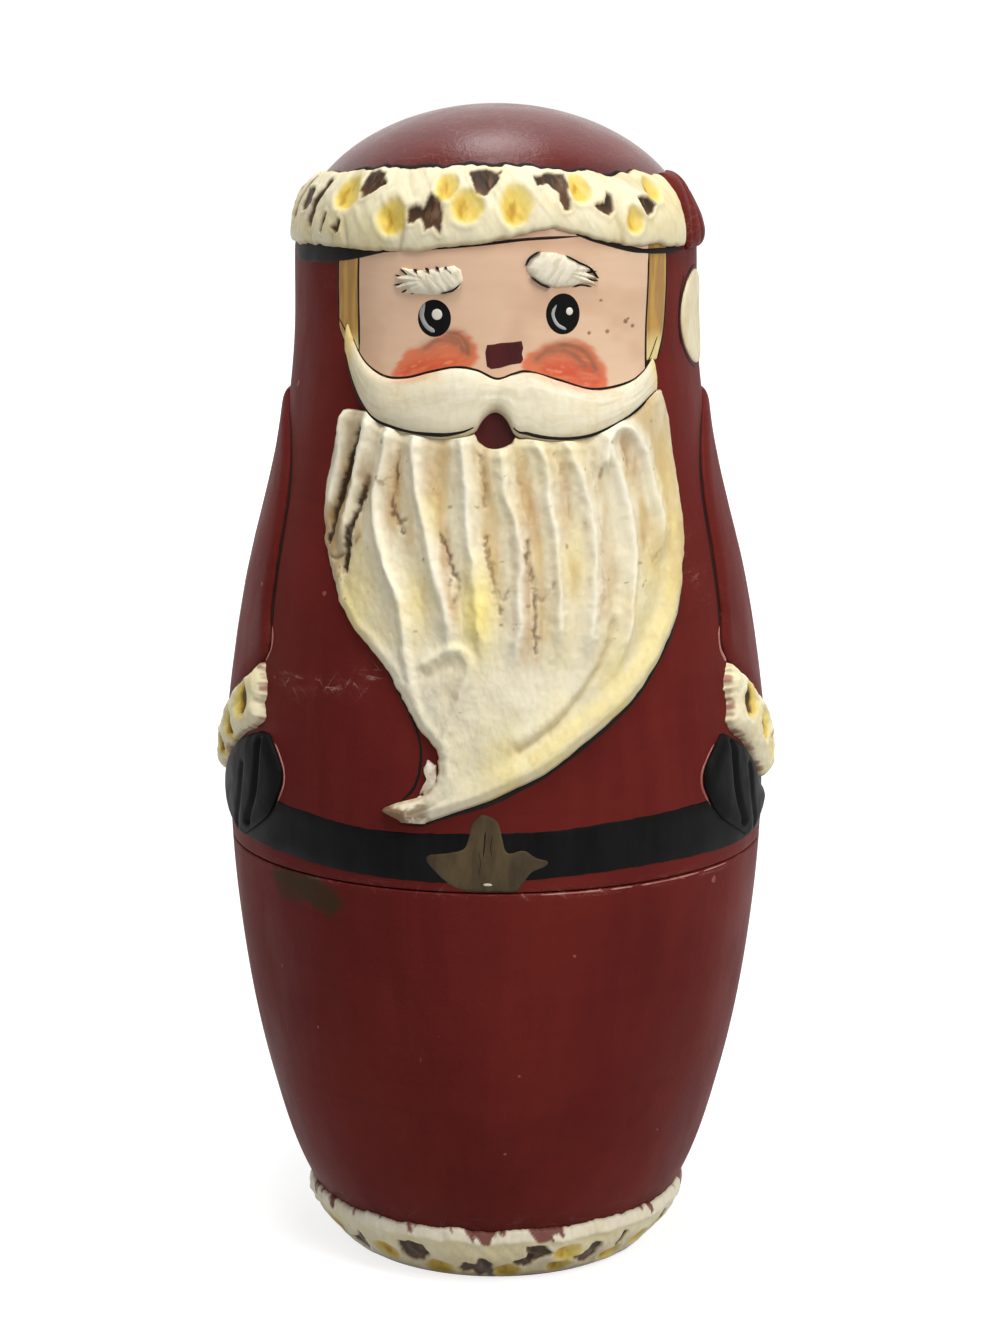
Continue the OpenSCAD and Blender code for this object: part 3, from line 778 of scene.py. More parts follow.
def upper_masks(k):
    """Wear with a painted pink sheen on the crown's top, grime with painted shade under and over the hat band, and the
    crown's shine of a top half, by angle and height.
    """
    def at(th, z, bare):
        th = turned(th)
        x, y = flat(th, z)
        wear_and_highlight = bump_at(z, SEAM + 0.2, 0.45) * 0.4 * around(th, z, 40, 0.5, 1, 3)
        if k == 0:
            scuff = distance(x, y, [(-51, 94.5), (-42, 93.9), (-33.5, 94.9), (-27, 97.3)])
            wear_and_highlight = wear_and_highlight + 0.7 * bump_at(scuff, 0, 1.5) * ease(cloud(x * 0.4, y * 0.9, 11) * 2.4 - 0.5)
            for th0, z0, wide, tall, amount, seed, least in SCUFFS:
                spot = ease(1.2 - np.hypot((th - th0) / wide, (z - z0) / tall))
                wear_and_highlight = wear_and_highlight + amount * spot * ease(cloud(x * 0.5, y * 0.4, seed) * 2 - least)
            # Painted sheen: a pale pink haze over the crown's top.
            wear_and_highlight = wear_and_highlight + 0.2 * ease((z - 167) / 4) * around(th, z, 25, 0.2, 0.2, 8)
        # Painted shade just under the hat band and a painted shadow line just over it, then patches of grime below the
        # band.
        grime_and_shade = 0.5 * ease((z - 153) / 4) * ease((158 - z) / 2) + 0.6 * bump_at(z, 168.9, 1.0)
        grime_and_shade = grime_and_shade + 0.28 * ease((around(th, z, 38, 0.05, 0.04, 2) - 0.45) * 3) * (z < 160)
        shine = ease((z - 163) / 6)
        return channels(bare, wear_and_highlight, np.zeros_like(th), grime_and_shade, shine)
    return at


def turned_bodies(k):
    """The turned wood of doll k."""
    segments = SEGMENTS[k]
    name = NAMES[k]
    if k == SMALLEST:
        body = lathe(name + "_doll", k, solid_rows(k), segments, "smallest_doll", upper_masks(k))
        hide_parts("smallest_body")
        return
    low = lathe(name + "_bottom_half", k, lower_rows(k), segments, name + "_bottom", lower_masks(k))
    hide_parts(name + "_lower_shell")
    top = lathe(name + "_top_half", k, upper_rows(k), segments, name + "_top", upper_masks(k))
    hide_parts(name + "_upper_shell")


# Raised pieces
WEDGE = [(-2.4, 1.7), (-0.6, 1.9), (1.2, 1.5), (2.4, 0.1), (0.9, -1.2), (-0.9, -1.8), (-1.9, -0.9)]
BLOTCH = [(-2.6, -0.5), (-1.5, 0.9), (-0.3, 0.5), (0.6, 2.0), (2.1, 1.3), (2.5, -0.9), (2.4, -2.6), (1.4, -1.5),
    (0.2, -2.3), (-0.6, -0.9), (-2.1, -1.4)]
TRAPEZE = [(-2.9, 1.7), (-0.3, 1.9), (2.8, 1.6), (2.5, 0.4), (1.2, -0.9), (0.4, -2.0), (-0.9, -1.2), (-1.8, 0.2)]
TEE = [(-3.4, 1.3), (-0.8, 2.1), (2.6, 1.8), (2.7, 0.3), (2.2, -3.6), (1.1, -3.9), (0.8, -1.2), (-1.0, 0.2),
    (-2.9, 0.0)]
COMMA = [(-1.8, -0.3), (-0.2, 0.2), (0.9, 1.6), (1.8, 1.2), (1.4, -1.0), (0.3, -1.8), (-0.7, -1.2)]
SLASH = [(0.2, 2.4), (1.0, 2.0), (0.5, 0.2), (-0.4, -2.2), (-1.0, -1.6), (-0.5, 0.4)]
EGG = [(0.1, 2.5), (1.3, 1.5), (1.6, -0.3), (0.7, -2.3), (-0.7, -2.2), (-1.5, -0.3), (-1.1, 1.7)]
SHAPES = [WEDGE, BLOTCH, TRAPEZE, COMMA, TEE, SLASH]


def signed_gap(dx, dy, shape):
    """Distance in millimetres to a small closed outline, less than 0 inside it."""
    best = np.full(dx.shape, FAR_OFF)
    within = np.zeros(dx.shape, bool)
    for (ax, ay), (bx, by) in zip(shape, shape[1:] + shape[:1]):
        ex, ey = bx - ax, by - ay
        t = np.clip(((dx - ax) * ex + (dy - ay) * ey) / (ex * ex + ey * ey), 0, 1)
        best = np.minimum(best, np.hypot(dx - ax - t * ex, dy - ay - t * ey))
        if ey:
            within ^= ((ay > dy) != (by > dy)) & (dx < ex * (dy - ay) / ey + ax)
    return np.where(within, -best, best)


def scattered(seed, first, last, pitch, low, high):
    """Brown and yellow dab places by angle and height, spread by a fixed rule."""
    browns, yellows = [], []
    for i, th in enumerate(np.arange(first, last, pitch)):
        a, b, c = hashed(i, 3, seed), hashed(i, 5, seed), hashed(i, 9, seed)
        spot = (th + pitch * 0.5 * (a - 0.5), low + (high - low) * b)
        if i % 2:
            yellows.append(spot + (1.9 + 0.7 * c, 1.8 + 0.8 * a))
        else:
            browns.append(spot + (SHAPES[int(c * 5.99)], 0.75 + 0.35 * a))
    return browns, yellows


def fur_look(th, z, browns, yellows, radius, deep=1.0):
    """Pressed dents and colours of dabbed fur: lift to add, colours."""
    lift = np.zeros(th.shape)
    colour = np.ones(th.shape + (3,)) * CREAM
    colour = blend(colour, PALE, 0.8 * around(th, z, radius, 0.22, 0.22, 31))
    colour = blend(colour, STRAW, 0.4 * ease(around(th, z, radius, 0.16, 0.2, 41) * 2 - 0.7))
    drag = around(th, z, radius, 1.3, 0.45, 23, 4)
    ragged = [around(th, z, radius, f, f, seed) - 0.5 for f, seed in ((0.5, 17), (1.0, 19))]
    for dth, dz, rx, rz in yellows:
        dx, dy = np.radians(turned(th - dth)) * radius, z - dz
        reach = np.hypot(dx / rx, dy / rz) + 0.42 * ragged[0]
        bowl = np.clip(1 - reach**2, 0, 1)
        lift += deep * (-0.8 * bowl + 0.16 * bump_at(reach, 1.2, 0.22))
        colour = blend(colour, linear(238, 217, 124), 0.9 * ease((1.2 - reach) * 2.2))
        low_side = ease(0.7 - 0.4 * dy / rz - 0.45 * dx / rx)
        colour = blend(colour, YELLOW, ease((1.0 - reach) * 2.6) * low_side * (0.55 + 0.45 * drag))
        core = np.hypot((dx + 0.25 * rx) / (0.42 * rx), (dy + 0.1 * rz) / (0.7 * rz))
        colour = blend(colour, OCHRE, 0.75 * ease((1.05 - core) * 1.8) * ease((drag - 0.32) * 3.4))
    for dth, dz, shape, size in browns:
        dx, dy = np.radians(turned(th - dth)) * radius / size, (z - dz) / size
        gap = signed_gap(dx, dy, shape) + 0.8 * ragged[1]
        full = ease(0.5 - gap / 0.34)
        tone = np.ones(th.shape + (3,)) * BROWN
        tone = blend(tone, linear(126, 98, 76), 0.6 * ease((drag - 0.56) * 4.5) * ease(0.7 - dy / 2.4))
        tone = blend(tone, SOOT, 0.95 * ease((0.74 - drag) * 4) * ease(0.8 + dy / 2.2))
        colour = blend(colour, UMBER, 0.5 * ease(0.6 - gap / 0.8))
        colour = blend(colour, tone, full * (0.96 + 0.04 * drag))
        lift += deep * full * (-0.28 + 0.3 * (drag - 0.5)) + deep * 0.16 * bump_at(gap, 0.45, 0.3)
    return lift, colour


def round_over(v):
    """A half-round from edge to edge of a band."""
    return np.sqrt(np.clip(1 - (2 * v - 1) ** 2, 0, 1))


# Angles at which the outer doll's hat band meets the fold, and the hem's radius
BAND_ENDS, HEM_R = (-259.4, 65.0), 27.5


def band_edges(th):
    """Wavy lower and upper heights of the hat's fur band."""
    near, a = turned(th), np.radians(th)
    wave = lambda f, seed: sway(np.cos(a) * f + 50, np.sin(a) * f + 50, seed)
    low = 157.5 + 2.9 * bump_at(near, 15, 18) + 1.1 * wave(4, 3) + 0.8 * wave(14, 8)
    high = 167.2 + 2.0 * bump_at(near, -8, 50) + 1.2 * wave(5, 13) + 1.0 * wave(14, 18)
    return low, high


def hat_band(k):
    """The hat's fur band: it stops at the fold on the outer doll and runs all round on the others."""
    name, s = NAMES[k], size_of(k)
    body = body_of(k, "top")
    cols, rows = (820, 66) if k == 0 else (int(560 * max(s, 0.5)), int(52 * max(s, 0.6)))
    if k == 0:
        th = np.linspace(*BAND_ENDS, cols)
    else:
        th = np.linspace(-180, 180, cols, endpoint=False)
    low, high = band_edges(th)
    v = np.linspace(0, 1, rows)[:, None]
    z = low + (high - low) * crowd(v, 0.5)
    th2 = np.broadcast_to(th, z.shape)
    f = (z - low) / (high - low)
    browns = [(-39.0, 166.1, WEDGE, 1.0), (-19.6, 162.6, BLOTCH, 1.05), (-3.6, 166.4, TRAPEZE, 0.95),
        (17.0, 166.0, TEE, 0.86), (31.7, 163.5, COMMA, 0.95), (47.4, 163.0, WEDGE, 0.72), (-76, 163.6, SLASH, 1.5),
        (-68, 163.4, WEDGE, 0.9), (-61, 163.2, SLASH, 1.5), (-49.0, 160.4, COMMA, 0.6), (-55, 160.6, SLASH, 0.6)]
    yellows = [(-47.4, 164.6, 2.6, 2.5), (-29.0, 161.9, 2.5, 2.5), (-14.3, 165.9, 1.9, 1.9), (-7.7, 163.4, 2.5, 2.2),
        (5.5, 163.6, 2.4, 2.8), (24.8, 165.6, 1.9, 2.0), (41.0, 161.3, 1.8, 1.8), (52.0, 165.2, 2.1, 1.7)]
    more = scattered(5 + k, 108 if k == 0 else 62, 282, 8.4, 160.6, 165.6)
    lift, colour = fur_look(th2, z, browns + more[0], yellows + more[1], HEAD_R)
    turn = np.radians(th2)
    lumps = sway(np.cos(turn) * 9 + 50, np.sin(turn) * 9 + z * 0.25, 51)
    fine = sway(np.cos(turn) * 30 + 80, np.sin(turn) * 30 + z * 0.8, 57)
    h = 1.5 * round_over(f) ** 0.62 * (0.78 + 0.22 * ease(1.3 * f)) * (1 + 0.34 * lumps) + 0.24 * fine * round_over(f)
    h += lift * round_over(f) ** 0.8
    # Pressed creases, with painted shade in them.
    for cth, side in ((-62, 1), (-50, -1), (-44.5, 1), (-26, -1), (36, 1)):
        across = np.radians(turned(th2 - cth)) * HEAD_R + 0.25 * side * (z - 159)
        crease = bump_at(across, 0, 0.45) * ease((0.42 - f) * 5)
        h -= 0.35 * crease
        colour = blend(colour, UMBER, 0.25 * crease)
    # Painted shade along the band's lower and upper edges, and in the hollows between the lumps.
    colour = blend(colour, UMBER, 0.4 * ease((0.07 - f) * 16) + 0.25 * ease((f - 0.95) * 20))
    colour = blend(colour, colour * SHADE_TINT, 0.4 * ease((0.5 - lumps - 0.62) * 4) * ease((f - 0.1) * 6))
    h = relief_of(k) * np.maximum(h, 0.14)
    obj = sheet(name + "_fur_band", k, th2, z, h, body, FUR, colour, ring=k > 0)
    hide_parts(name + "_hat_band")


def hem(k):
    """The coat's fur hem."""
    name, s = NAMES[k], size_of(k)
    body = body_of(k, "bottom")
    cols, rows = (760, 56) if k == 0 else (int(520 * max(s, 0.5)), int(40 * max(s, 0.6)))
    th = np.linspace(-180, 180, cols, endpoint=False)
    a = np.radians(th)
    wave = lambda f, seed: sway(np.cos(a) * f + 40, np.sin(a) * f + 40, seed)
    low = 0.75 + 0.3 * wave(3, 3)
    high = 9.9 + 1.2 * wave(4, 13) + 1.1 * wave(14, 18) + 0.5 * wave(40, 28)
    v = np.linspace(0, 1, rows)[:, None]
    z = low + (high - low) * crowd(v, 0.5)
    th2 = np.broadcast_to(th, z.shape)
    f = (z - low) / (high - low)
    browns = [(-51.4, 4.4, COMMA, 1.2), (-26.1, 5.4, WEDGE, 1.05), (-6.5, 3.3, BLOTCH, 1.1), (13.2, 6.2, WEDGE, 0.85),
        (8.6, 4.8, COMMA, 0.9), (30.2, 4.8, COMMA, 1.15), (43, 5.4, SLASH, 0.8)]
    yellows = [(-38, 4.2, 2.4, 2.0), (-19.5, 2.6, 2.6, 1.6), (3.5, 2.4, 2.4, 1.6), (22.6, 5.8, 2.2, 1.7),
        (21.4, 2.7, 2.2, 1.4), (41.5, 3.0, 2.2, 1.5), (-64, 5.0, 2.2, 1.9), (54, 4.4, 2, 1.8)]
    more = scattered(15 + k, 62, 290, 9.2, 3.0, 6.4)
    lift, colour = fur_look(th2, z, browns + more[0], yellows + more[1], HEM_R, 0.9)
    turn = np.radians(th2)
    lumps = sway(np.cos(turn) * 7 + 40, np.sin(turn) * 7 + 40 + z * 0.2, 51)
    fine = sway(np.cos(turn) * 26 + 60, np.sin(turn) * 26 + z * 0.7 + 60, 57)
    h = 1.4 * round_over(f) ** 0.62 * (0.5 + 0.5 * ease(1.6 * f)) * (1 + 0.6 * lumps) + 0.25 * fine * round_over(f)
    h += lift * round_over(f) ** 0.8
    lip = ease((f - 0.8) * 9)
    h += 0.35 * bump_at(f, 0.86, 0.07) * (0.4 + cloud(np.cos(turn) * 12 + 20, np.sin(turn) * 12 + 20, 63))
    colour = blend(colour, linear(244, 236, 216), 0.8 * lip)
    ragged = sway(np.cos(turn) * 40 + 20, np.sin(turn) * 40 + z * 0.9 + 20, 62)
    bare = cloud(np.cos(turn) * 9 + 20, np.sin(turn) * 9 + 20, 61) + 0.35 * ragged
    colour = blend(colour, linear(112, 40, 38), 0.92 * ease((f - 1.0 + 0.2 * ease((bare - 0.5) * 4)) * 14))
    # Painted shade: darker towards the lower part of the hem and along its bottom edge.
    colour = blend(colour, colour * SHADE_TINT, 0.62 * ease((0.7 - f) * 2.2) * around(th2, z, 27, 0.2, 0.3, 65))
    colour = blend(colour, colour * SHADE_TINT, 0.6 * ease((0.16 - f) * 9))
    h = relief_of(k) * np.maximum(h, 0.12)
    obj = sheet(name + "_fur_hem", k, th2, z, h, body, FUR, colour, ring=True)
    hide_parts(name + "_hem_trim")


MOUSTACHE_LOW = [(-44.5, 142.2), (-42.6, 139.6), (-40, 137.2), (-34.5, 133.7), (-26, 131.6), (-16.5, 130.7),
    (-10.5, 130.8), (-6.6, 131.5), (-4.8, 132.2), (-3.6, 133.4), (-2.5, 134.1), (2.1, 134.1), (3.2, 133.3),
    (4.3, 132.0), (8.2, 130.9), (14.8, 130.2), (23.2, 130.5), (34.5, 132.9), (47.5, 136.4)]
MOUSTACHE_HIGH = [(-44.5, 146.6), (-42.4, 144.4), (-39.6, 142.2), (-35.9, 140.5), (-30.6, 139.3), (-24.6, 139.3),
    (-17.3, 140.3), (-10.3, 141.0), (-5, 140.6), (0.3, 139.4), (4.8, 140.1), (8.6, 140.4), (17, 139.1), (26.7, 137.6),
    (37.8, 138.2), (44, 139.7), (47.5, 141.4)]
MOUSTACHE_ENDS = (-44.9, 48.2)


def moustache_lift(th, v):
    """Height of the moustache by angle and share of its width."""
    u = np.clip((th + 44.5) / 92, 0, 1)
    x = np.radians(th) * 31
    ends = 0.35 + 0.65 * ease(np.minimum(u, 1 - u) * 6)
    h = 2.0 * round_over(v) ** 0.75 * ends
    h = h * (1 - 0.3 * bump_at(th, 0.0, 2.8)) * (1 - 0.08 * bump_at(th, 0, 12)) * (1.06 - 0.18 * v)
    return h * (1 + 0.12 * sway(x * 0.16, v * 2.2, 71))


def moustache(k):
    """The moustache, of brushed paste."""
    name, s = NAMES[k], size_of(k)
    body = body_of(k, "top")
    cols, rows = (340, 72) if k == 0 else (int(260 * max(s, 0.5)), int(56 * max(s, 0.6)))
    th = np.linspace(*MOUSTACHE_ENDS, cols)
    v = np.linspace(0, 1, rows)[:, None]
    low, high = track(MOUSTACHE_LOW, th), track(MOUSTACHE_HIGH, th)
    f = crowd(v, 0.5) + 0 * th
    z = low + (high - low) * f
    th2 = np.broadcast_to(th, z.shape)
    x = flat(th2, z)[0]
    h = moustache_lift(th2, f)
    warp = 1.8 * cloud(x * 0.3, f * 3, 81)
    hairs = cloud(x * 0.18 + warp, f * 9 + warp, 73, 4)
    h += 0.09 * (hairs - 0.5) * round_over(f)
    colour = plain(z, 236, 227, 200)
    colour = blend(colour, linear(212, 200, 170), 0.5 * ease((cloud(x * 0.1 + warp, f * 5 + warp, 79, 4) - 0.46) * 4))
    colour = blend(colour, linear(246, 240, 222), 0.5 * ease((hairs - 0.52) * 4))
    # Painted shade: darker on the left side, along the underside, and at the middle of the underside above the mouth.
    colour = blend(colour, linear(208, 196, 166), 0.5 * ease((-8 - th2) / 30))
    colour = blend(colour, linear(184, 166, 130), 0.6 * ease((0.2 - f) * 4.5))
    colour = blend(colour, linear(160, 138, 104), 0.5 * bump_at(th2, 0, 2.6) * ease((0.5 - f) * 3))
    colour = blend(colour, linear(226, 140, 104),
        0.45 * ease((f - 0.84) * 8) * (bump_at(th2, -22, 7) + bump_at(th2, 21, 9)))
    colour = blend(colour, linear(232, 206, 126),
        0.75 * np.maximum(ease((-40.6 - th2) / 2.6), 0.8 * ease((th2 - 45) / 2.4)))
    obj = sheet(name + "_moustache_paste", k, th2, z, relief_of(k) * np.maximum(h, 0.12), body, FUR, colour)
    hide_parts(name + "_moustache")


BEARD_LEFT = [(76.4, -19), (77.6, -22.8), (80.4, -14.5), (85.4, -11.8), (91.4, -17.2), (99.7, -26.2), (103.2, -32.4),
    (111, -40.6), (120, -46.2), (125, -46.8), (130.6, -43.6)]
BEARD_RIGHT = [(76.4, -14.5), (77.9, -8.3), (82.4, 6.5), (87.3, 17.5), (94.8, 31.7), (102.5, 41.6), (113.8, 49.4),
    (125, 52.8), (130.6, 51.2)]
RIDGES = [[(-41, 134), (-41.2, 128), (-42.4, 122), (-43.2, 117)],
    [(-33.4, 134), (-34.6, 128), (-36.2, 120), (-37.6, 113)],
    [(-27.2, 132), (-28.6, 126), (-28.8, 119.4), (-25.2, 113.4), (-20.8, 107.6), (-18.8, 101.5), (-16.6, 95),
        (-13, 90)],
    [(-20, 132), (-19.4, 126), (-16.6, 119.4), (-13.4, 112.4), (-10.6, 106.4), (-9.4, 100)],
    [(-8.2, 131), (-7.2, 124.4), (-6.4, 117.6), (-4.6, 111), (-3.4, 104), (-3, 99)],
    [(1.6, 129.4), (2.2, 123.6), (4.8, 118.4), (5.2, 111), (4.6, 104), (3.8, 98)],
    [(10, 131), (12.4, 125.4), (12.2, 121.6), (13.6, 115.4), (13.8, 107), (12.6, 99)],
    [(17.2, 131), (20.4, 125), (22.2, 119.4), (22, 111.6), (20.6, 104), (18, 98)],
    [(28.4, 131), (30.6, 124.7), (32, 117.8), (31, 110), (28.6, 103), (25, 97)],
    [(27.6, 127.4), (29.8, 131.2), (34, 132.2), (38, 129.6), (40.6, 124), (41.2, 118), (39.6, 112)]]
GROOVES = [
    ([(-36.6, 131.6), (-38.2, 125.4), (-40.4, 119.6), (-41.2, 115.4)], 1.0, 1.0),
    ([(-32.4, 124.6), (-34.2, 119.6), (-35.6, 116), (-35.8, 111.4)], 0.85, 0.9),
    ([(-41.4, 113.4), (-38.6, 113.0), (-35.4, 114.4), (-33.2, 116.4)], 0.4, 0.25),
    ([(-24.4, 128.6), (-25, 124), (-24.6, 120.4), (-22.6, 118.6), (-21.6, 117.4)], 0.5, 0.6),
    ([(-23.2, 118.8), (-21.2, 119.2)], 0.4, 0.2),
    ([(-14.2, 127.4), (-13.8, 122)], 0.15, 0.6),
    ([(-12.6, 117.4), (-10.8, 114.6), (-9.4, 112), (-8.2, 111.4), (-8.8, 107.2)], 0.5, 0.85),
    ([(-4.2, 128.6), (-2.8, 124.6), (-2.4, 121.4)], 0.35, 0.6),
    ([(-2.4, 117), (-1.0, 112.6), (0.4, 108.8), (1.2, 106.6)], 0.42, 0.6),
    ([(-0.4, 109.4), (1.6, 108.4), (2.6, 109.6)], 0.36, 0.35),
    ([(4.6, 127.4), (6.2, 123), (7.4, 119.6)], 0.2, 0.75),
    ([(7.0, 116.4), (7.2, 112.6), (8.6, 109), (8.0, 104.4), (8.4, 101)], 0.5, 0.7),
    ([(8.4, 108.8), (10.2, 108.2), (12.4, 110.6)], 0.3, 0.6),
    ([(14.8, 129), (16.6, 124), (17.8, 118)], 0.18, 0.55),
    ([(23.6, 127), (24.6, 121), (24.2, 113), (23.4, 107)], 0.2, 0.4),
    ([(33.6, 129.8), (34.4, 126)], 0.22, 0.7),
    ([(36.4, 116), (37.6, 112.6), (39.8, 113.8)], 0.2, 0.45),
]
CURL = [(-14.4, 99.2), (-12.4, 100.2), (-8.6, 101.4), (-6.2, 100.2), (-5.8, 97.4), (-7.4, 93.8), (-9.8, 90),
    (-10.8, 87)]
DELL = [(-13.6, 97.8), (-10.4, 99), (-8.2, 98.4), (-9.6, 95)]
FOLD = [(4.4, 87.2), (10, 89.6), (15.2, 92.8), (19.6, 96.4), (22.4, 99.6), (25.4, 104.4)]
STRAW_SPOTS = [(-4.6, 106, 2.2), (-14.4, 121, 1.5), (-17, 108, 2), (-33, 107, 3.4), (38, 112, 3), (44, 116, 2.6),
    (34, 101, 4), (26, 95, 4), (2, 83.5, 3.4), (12, 86.2, 3.4), (45, 124, 2.4), (17, 113, 2.2)]
BEARD_LOW, BEARD_TALL, BEARD_FULL = 76.2, 54.4, 130.6
MOUTH_DIP, MOUTH_HALF = 4.7, 5.0


def beard_cap(th):
    """Height that the beard's upper edge stays under at the sides."""
    return 134.4 + 2.6 * ease((th + 30) / 70)


def beard_top(th):
    """Upper edge of the beard, just under the moustache, with a rounded dip for the mouth."""
    rim = np.minimum(beard_cap(th), track(MOUSTACHE_LOW, th) + 0.5 - 0.9 * bump_at(th, 0, 8))
    return rim - MOUTH_DIP * np.clip(1 - ((th + 0.2) / MOUTH_HALF) ** 2, 0, 1) ** 0.8


def beard(k):
    """The beard: locks, cracks, curl and fold in relief, with washes of colour, painted highlights on the locks and
    painted shade between them and in the fold.
    """
    name, s = NAMES[k], size_of(k)
    body = body_of(k, "top")
    cols, rows = (300, 300) if k == 0 else (int(190 * max(s, 0.45)), int(180 * max(s, 0.45)))
    v = np.linspace(0, 1, rows)[:, None]
    u = np.linspace(0, 1, cols)[None, :]
    zr = BEARD_LOW + BEARD_TALL * (0.3 * v * v + 0.7 * v)
    left, right = track(BEARD_LEFT, zr), track(BEARD_RIGHT, zr)
    uu = crowd(u, 0.25)
    jag = lambda f, seed: sway(zr * f, 0 * zr, seed)
    left_jag = 1.3 * jag(0.22, 90) + 0.9 * jag(0.6, 91) + 0.5 * jag(1.7, 92)
    right_jag = 1.5 * jag(0.2, 95) + 0.9 * jag(0.55, 96)
    th = left + (right - left) * uu + left_jag * (1 - uu) ** 4 - right_jag * uu**4
    z = zr + (beard_top(th) - BEARD_FULL) * ease((zr - 116) / 14.6)
    x, y = flat(th, z)
    skip = max(1, rows // 130)
    edge = np.minimum(distance(x, y, np.stack([th[::skip, 0], z[::skip, 0]], -1)),
        distance(x, y, np.stack([th[::skip, -1], z[::skip, -1]], -1)))
    edge = np.minimum(edge, (z - z[0].mean()) * 1.2 + 0.2)
    top_gap = beard_top(th) - z
    body_h = rounded(edge, 1.7) * (0.72 + 0.28 * ease(top_gap / 1.6))
    fade = ease((z - 96) / 10)
    shift = 0.9 * sway(x * 0.3, y * 0.22, 5) + 0.4 * sway(x * 0.8, y * 0.8, 7)
    ridge = np.zeros_like(x)
    wide = np.zeros_like(x)
    for i, line in enumerate(RIDGES):
        path = smooth_line(line, 30)
        d = distance(x + shift, y, path)
        ends = ease((y - path[-1, 1] + 0.5) / 6) if i != 2 else ease((y - 88) / 14)
        thick = 0.72 + 0.3 * sway(y * 0.2 + 9 * i, 0 * y, 3)
        ridge = np.maximum(ridge, ends * bump_at(d, 0, thick))
        wide = np.maximum(wide, ends * bump_at(d, 0, 2.1))
    crack = np.zeros_like(x)
    stain = np.zeros_like(x)
    wander = 0.8 * sway(x * 0.8, y * 0.6, 6) + 0.7 * sway(x * 2.4, y * 2.0, 8)
    for line, deep, dark in GROOVES:
        d = distance(x + wander, y + 0.5 * wander, smooth_line(line, 24))
        thick = 0.2 + 0.26 * deep
        crack = np.maximum(crack, deep * bump_at(d, 0, thick))
        stain = np.maximum(stain, dark * bump_at(d, 0, 2.3))
    swirl = bump_at(distance(x + shift, y, smooth_line(CURL, 34)), 0, 0.8)
    dip = bump_at(distance(x + shift, y, smooth_line(DELL, 24)), 0, 1.1)
    fold = smooth_line(FOLD, 24)
    crease = bump_at(distance(x + shift, y, fold), 0, 0.62)
    bank = bump_at(distance(x + shift, y - 1.4, fold), 0, 1.3)
    side = ease((th + 14) / 20)
    roll = side * ease((128 - z) / 10)
    lumps = sway(x * 0.16, y * 0.12, 61)
    h = 1.3 + (0.8 if k == 0 else 0.5) * fade * (wide - 0.4) + 0.75 * ridge - 0.62 * crack
    h = h + 0.6 * swirl - 0.35 * dip - 0.45 * crease + 0.35 * bank
    h += 0.9 * lumps * (0.3 + 0.7 * (1 - fade)) + 0.28 * sway(x * 0.5, y * 0.3, 63) + 0.14 * sway(x * 1.6, y * 1.2, 64)
    rolled = 0.6 * bump_at(edge, 2.3, 1.3) - 0.3 * bump_at(edge, 4.9, 1.2) * (0.5 + lumps)
    h += roll * rolled + 0.2 * bump_at(edge, 1.5, 0.7)
    h = np.maximum(h * body_h, 0.12)
    colour = plain(x, 231, 222, 194)
    # Painted shade: greyer between the locks in the upper part.
    colour = blend(colour, linear(212, 199, 162),
        0.6 * fade * ease((0.45 - wide) * 3) * (0.4 + 0.6 * cloud(x * 0.3, y * 0.1, 62)))
    # Painted highlight: lighter along the tops of the locks; lower down, lighter patches of paste at random.
    colour = blend(colour, linear(246, 240, 220),
        0.9 * np.maximum(ridge, 0.6 * (1 - fade) * cloud(x * 0.2, y * 0.2, 65)))
    colour = blend(colour, linear(214, 206, 182), 0.5 * (1 - fade) * ease((cloud(x * 0.14, y * 0.14, 66) - 0.48) * 4))
    straw = 0.3 * ease(sway(x * 0.11, y * 0.07, 67) * 3) * (0.4 + 0.6 * fade)
    for yth, yz, r in STRAW_SPOTS:
        yx, yy = flat(yth, yz)
        spot = np.exp(-(((x - yx) / r) ** 2 + ((y - yy) / (2.2 * r)) ** 2))
        straw = np.maximum(straw, 0.85 * spot * (0.45 + 0.55 * cloud(x * 0.5, y * 0.14, 69)))
    straw = np.maximum(straw, 0.7 * roll * bump_at(edge, 3.0, 2.0) * ease((cloud(x * 0.15, y * 0.1, 68) - 0.3) * 2.6))
    colour = blend(colour, linear(234, 216, 140), straw)
    wash = stain * (0.15 + 0.85 * ease((cloud(x * 0.7, y * 0.16, 75, 4) - 0.36) * 2.6)) * (1 - 0.75 * ridge)
    between = fade * ease((0.7 - wide) * 2.4) * ease((cloud(x * 0.34, y * 0.09, 79) - 0.4) * 3)
    colour = blend(colour, linear(204, 172, 116), 0.7 * between * ease((z - 102) / 14))
    colour = blend(colour, linear(178, 134, 80), 0.9 * wash)
    glow_x, glow_y = flat(-3.4, 107)
    glow = np.exp(-(((x - glow_x) / 2.0) ** 2 + ((y - glow_y) / 6.0) ** 2))
    colour = blend(colour, linear(250, 231, 134), 0.75 * glow)
    left_side = ease((-29 - th) / 7) * ease((z - 104) / 8)
    colour = blend(colour, linear(150, 128, 90),
        0.62 * left_side * ease((cloud(x * 0.5, y * 0.13, 76) - 0.34) * 2.8) * (1 - 0.8 * ridge))
    flecks = ease((cloud(x * 1.5, y * 0.6, 77) - 0.3) * 3.6)
    colour = blend(colour, linear(92, 58, 30),
        np.minimum(np.clip(crack * 1.8 - 0.14, 0, 1) * (0.15 + 0.85 * flecks), 0.92))
    colour = blend(colour, linear(40, 28, 18), 0.85 * ease((-31.5 - th) / 3) * ease(crack * 2.2 - 0.6))
    pits = ease((cloud(x * 0.8, y * 0.8, 93) - 0.79) * 14) * fade
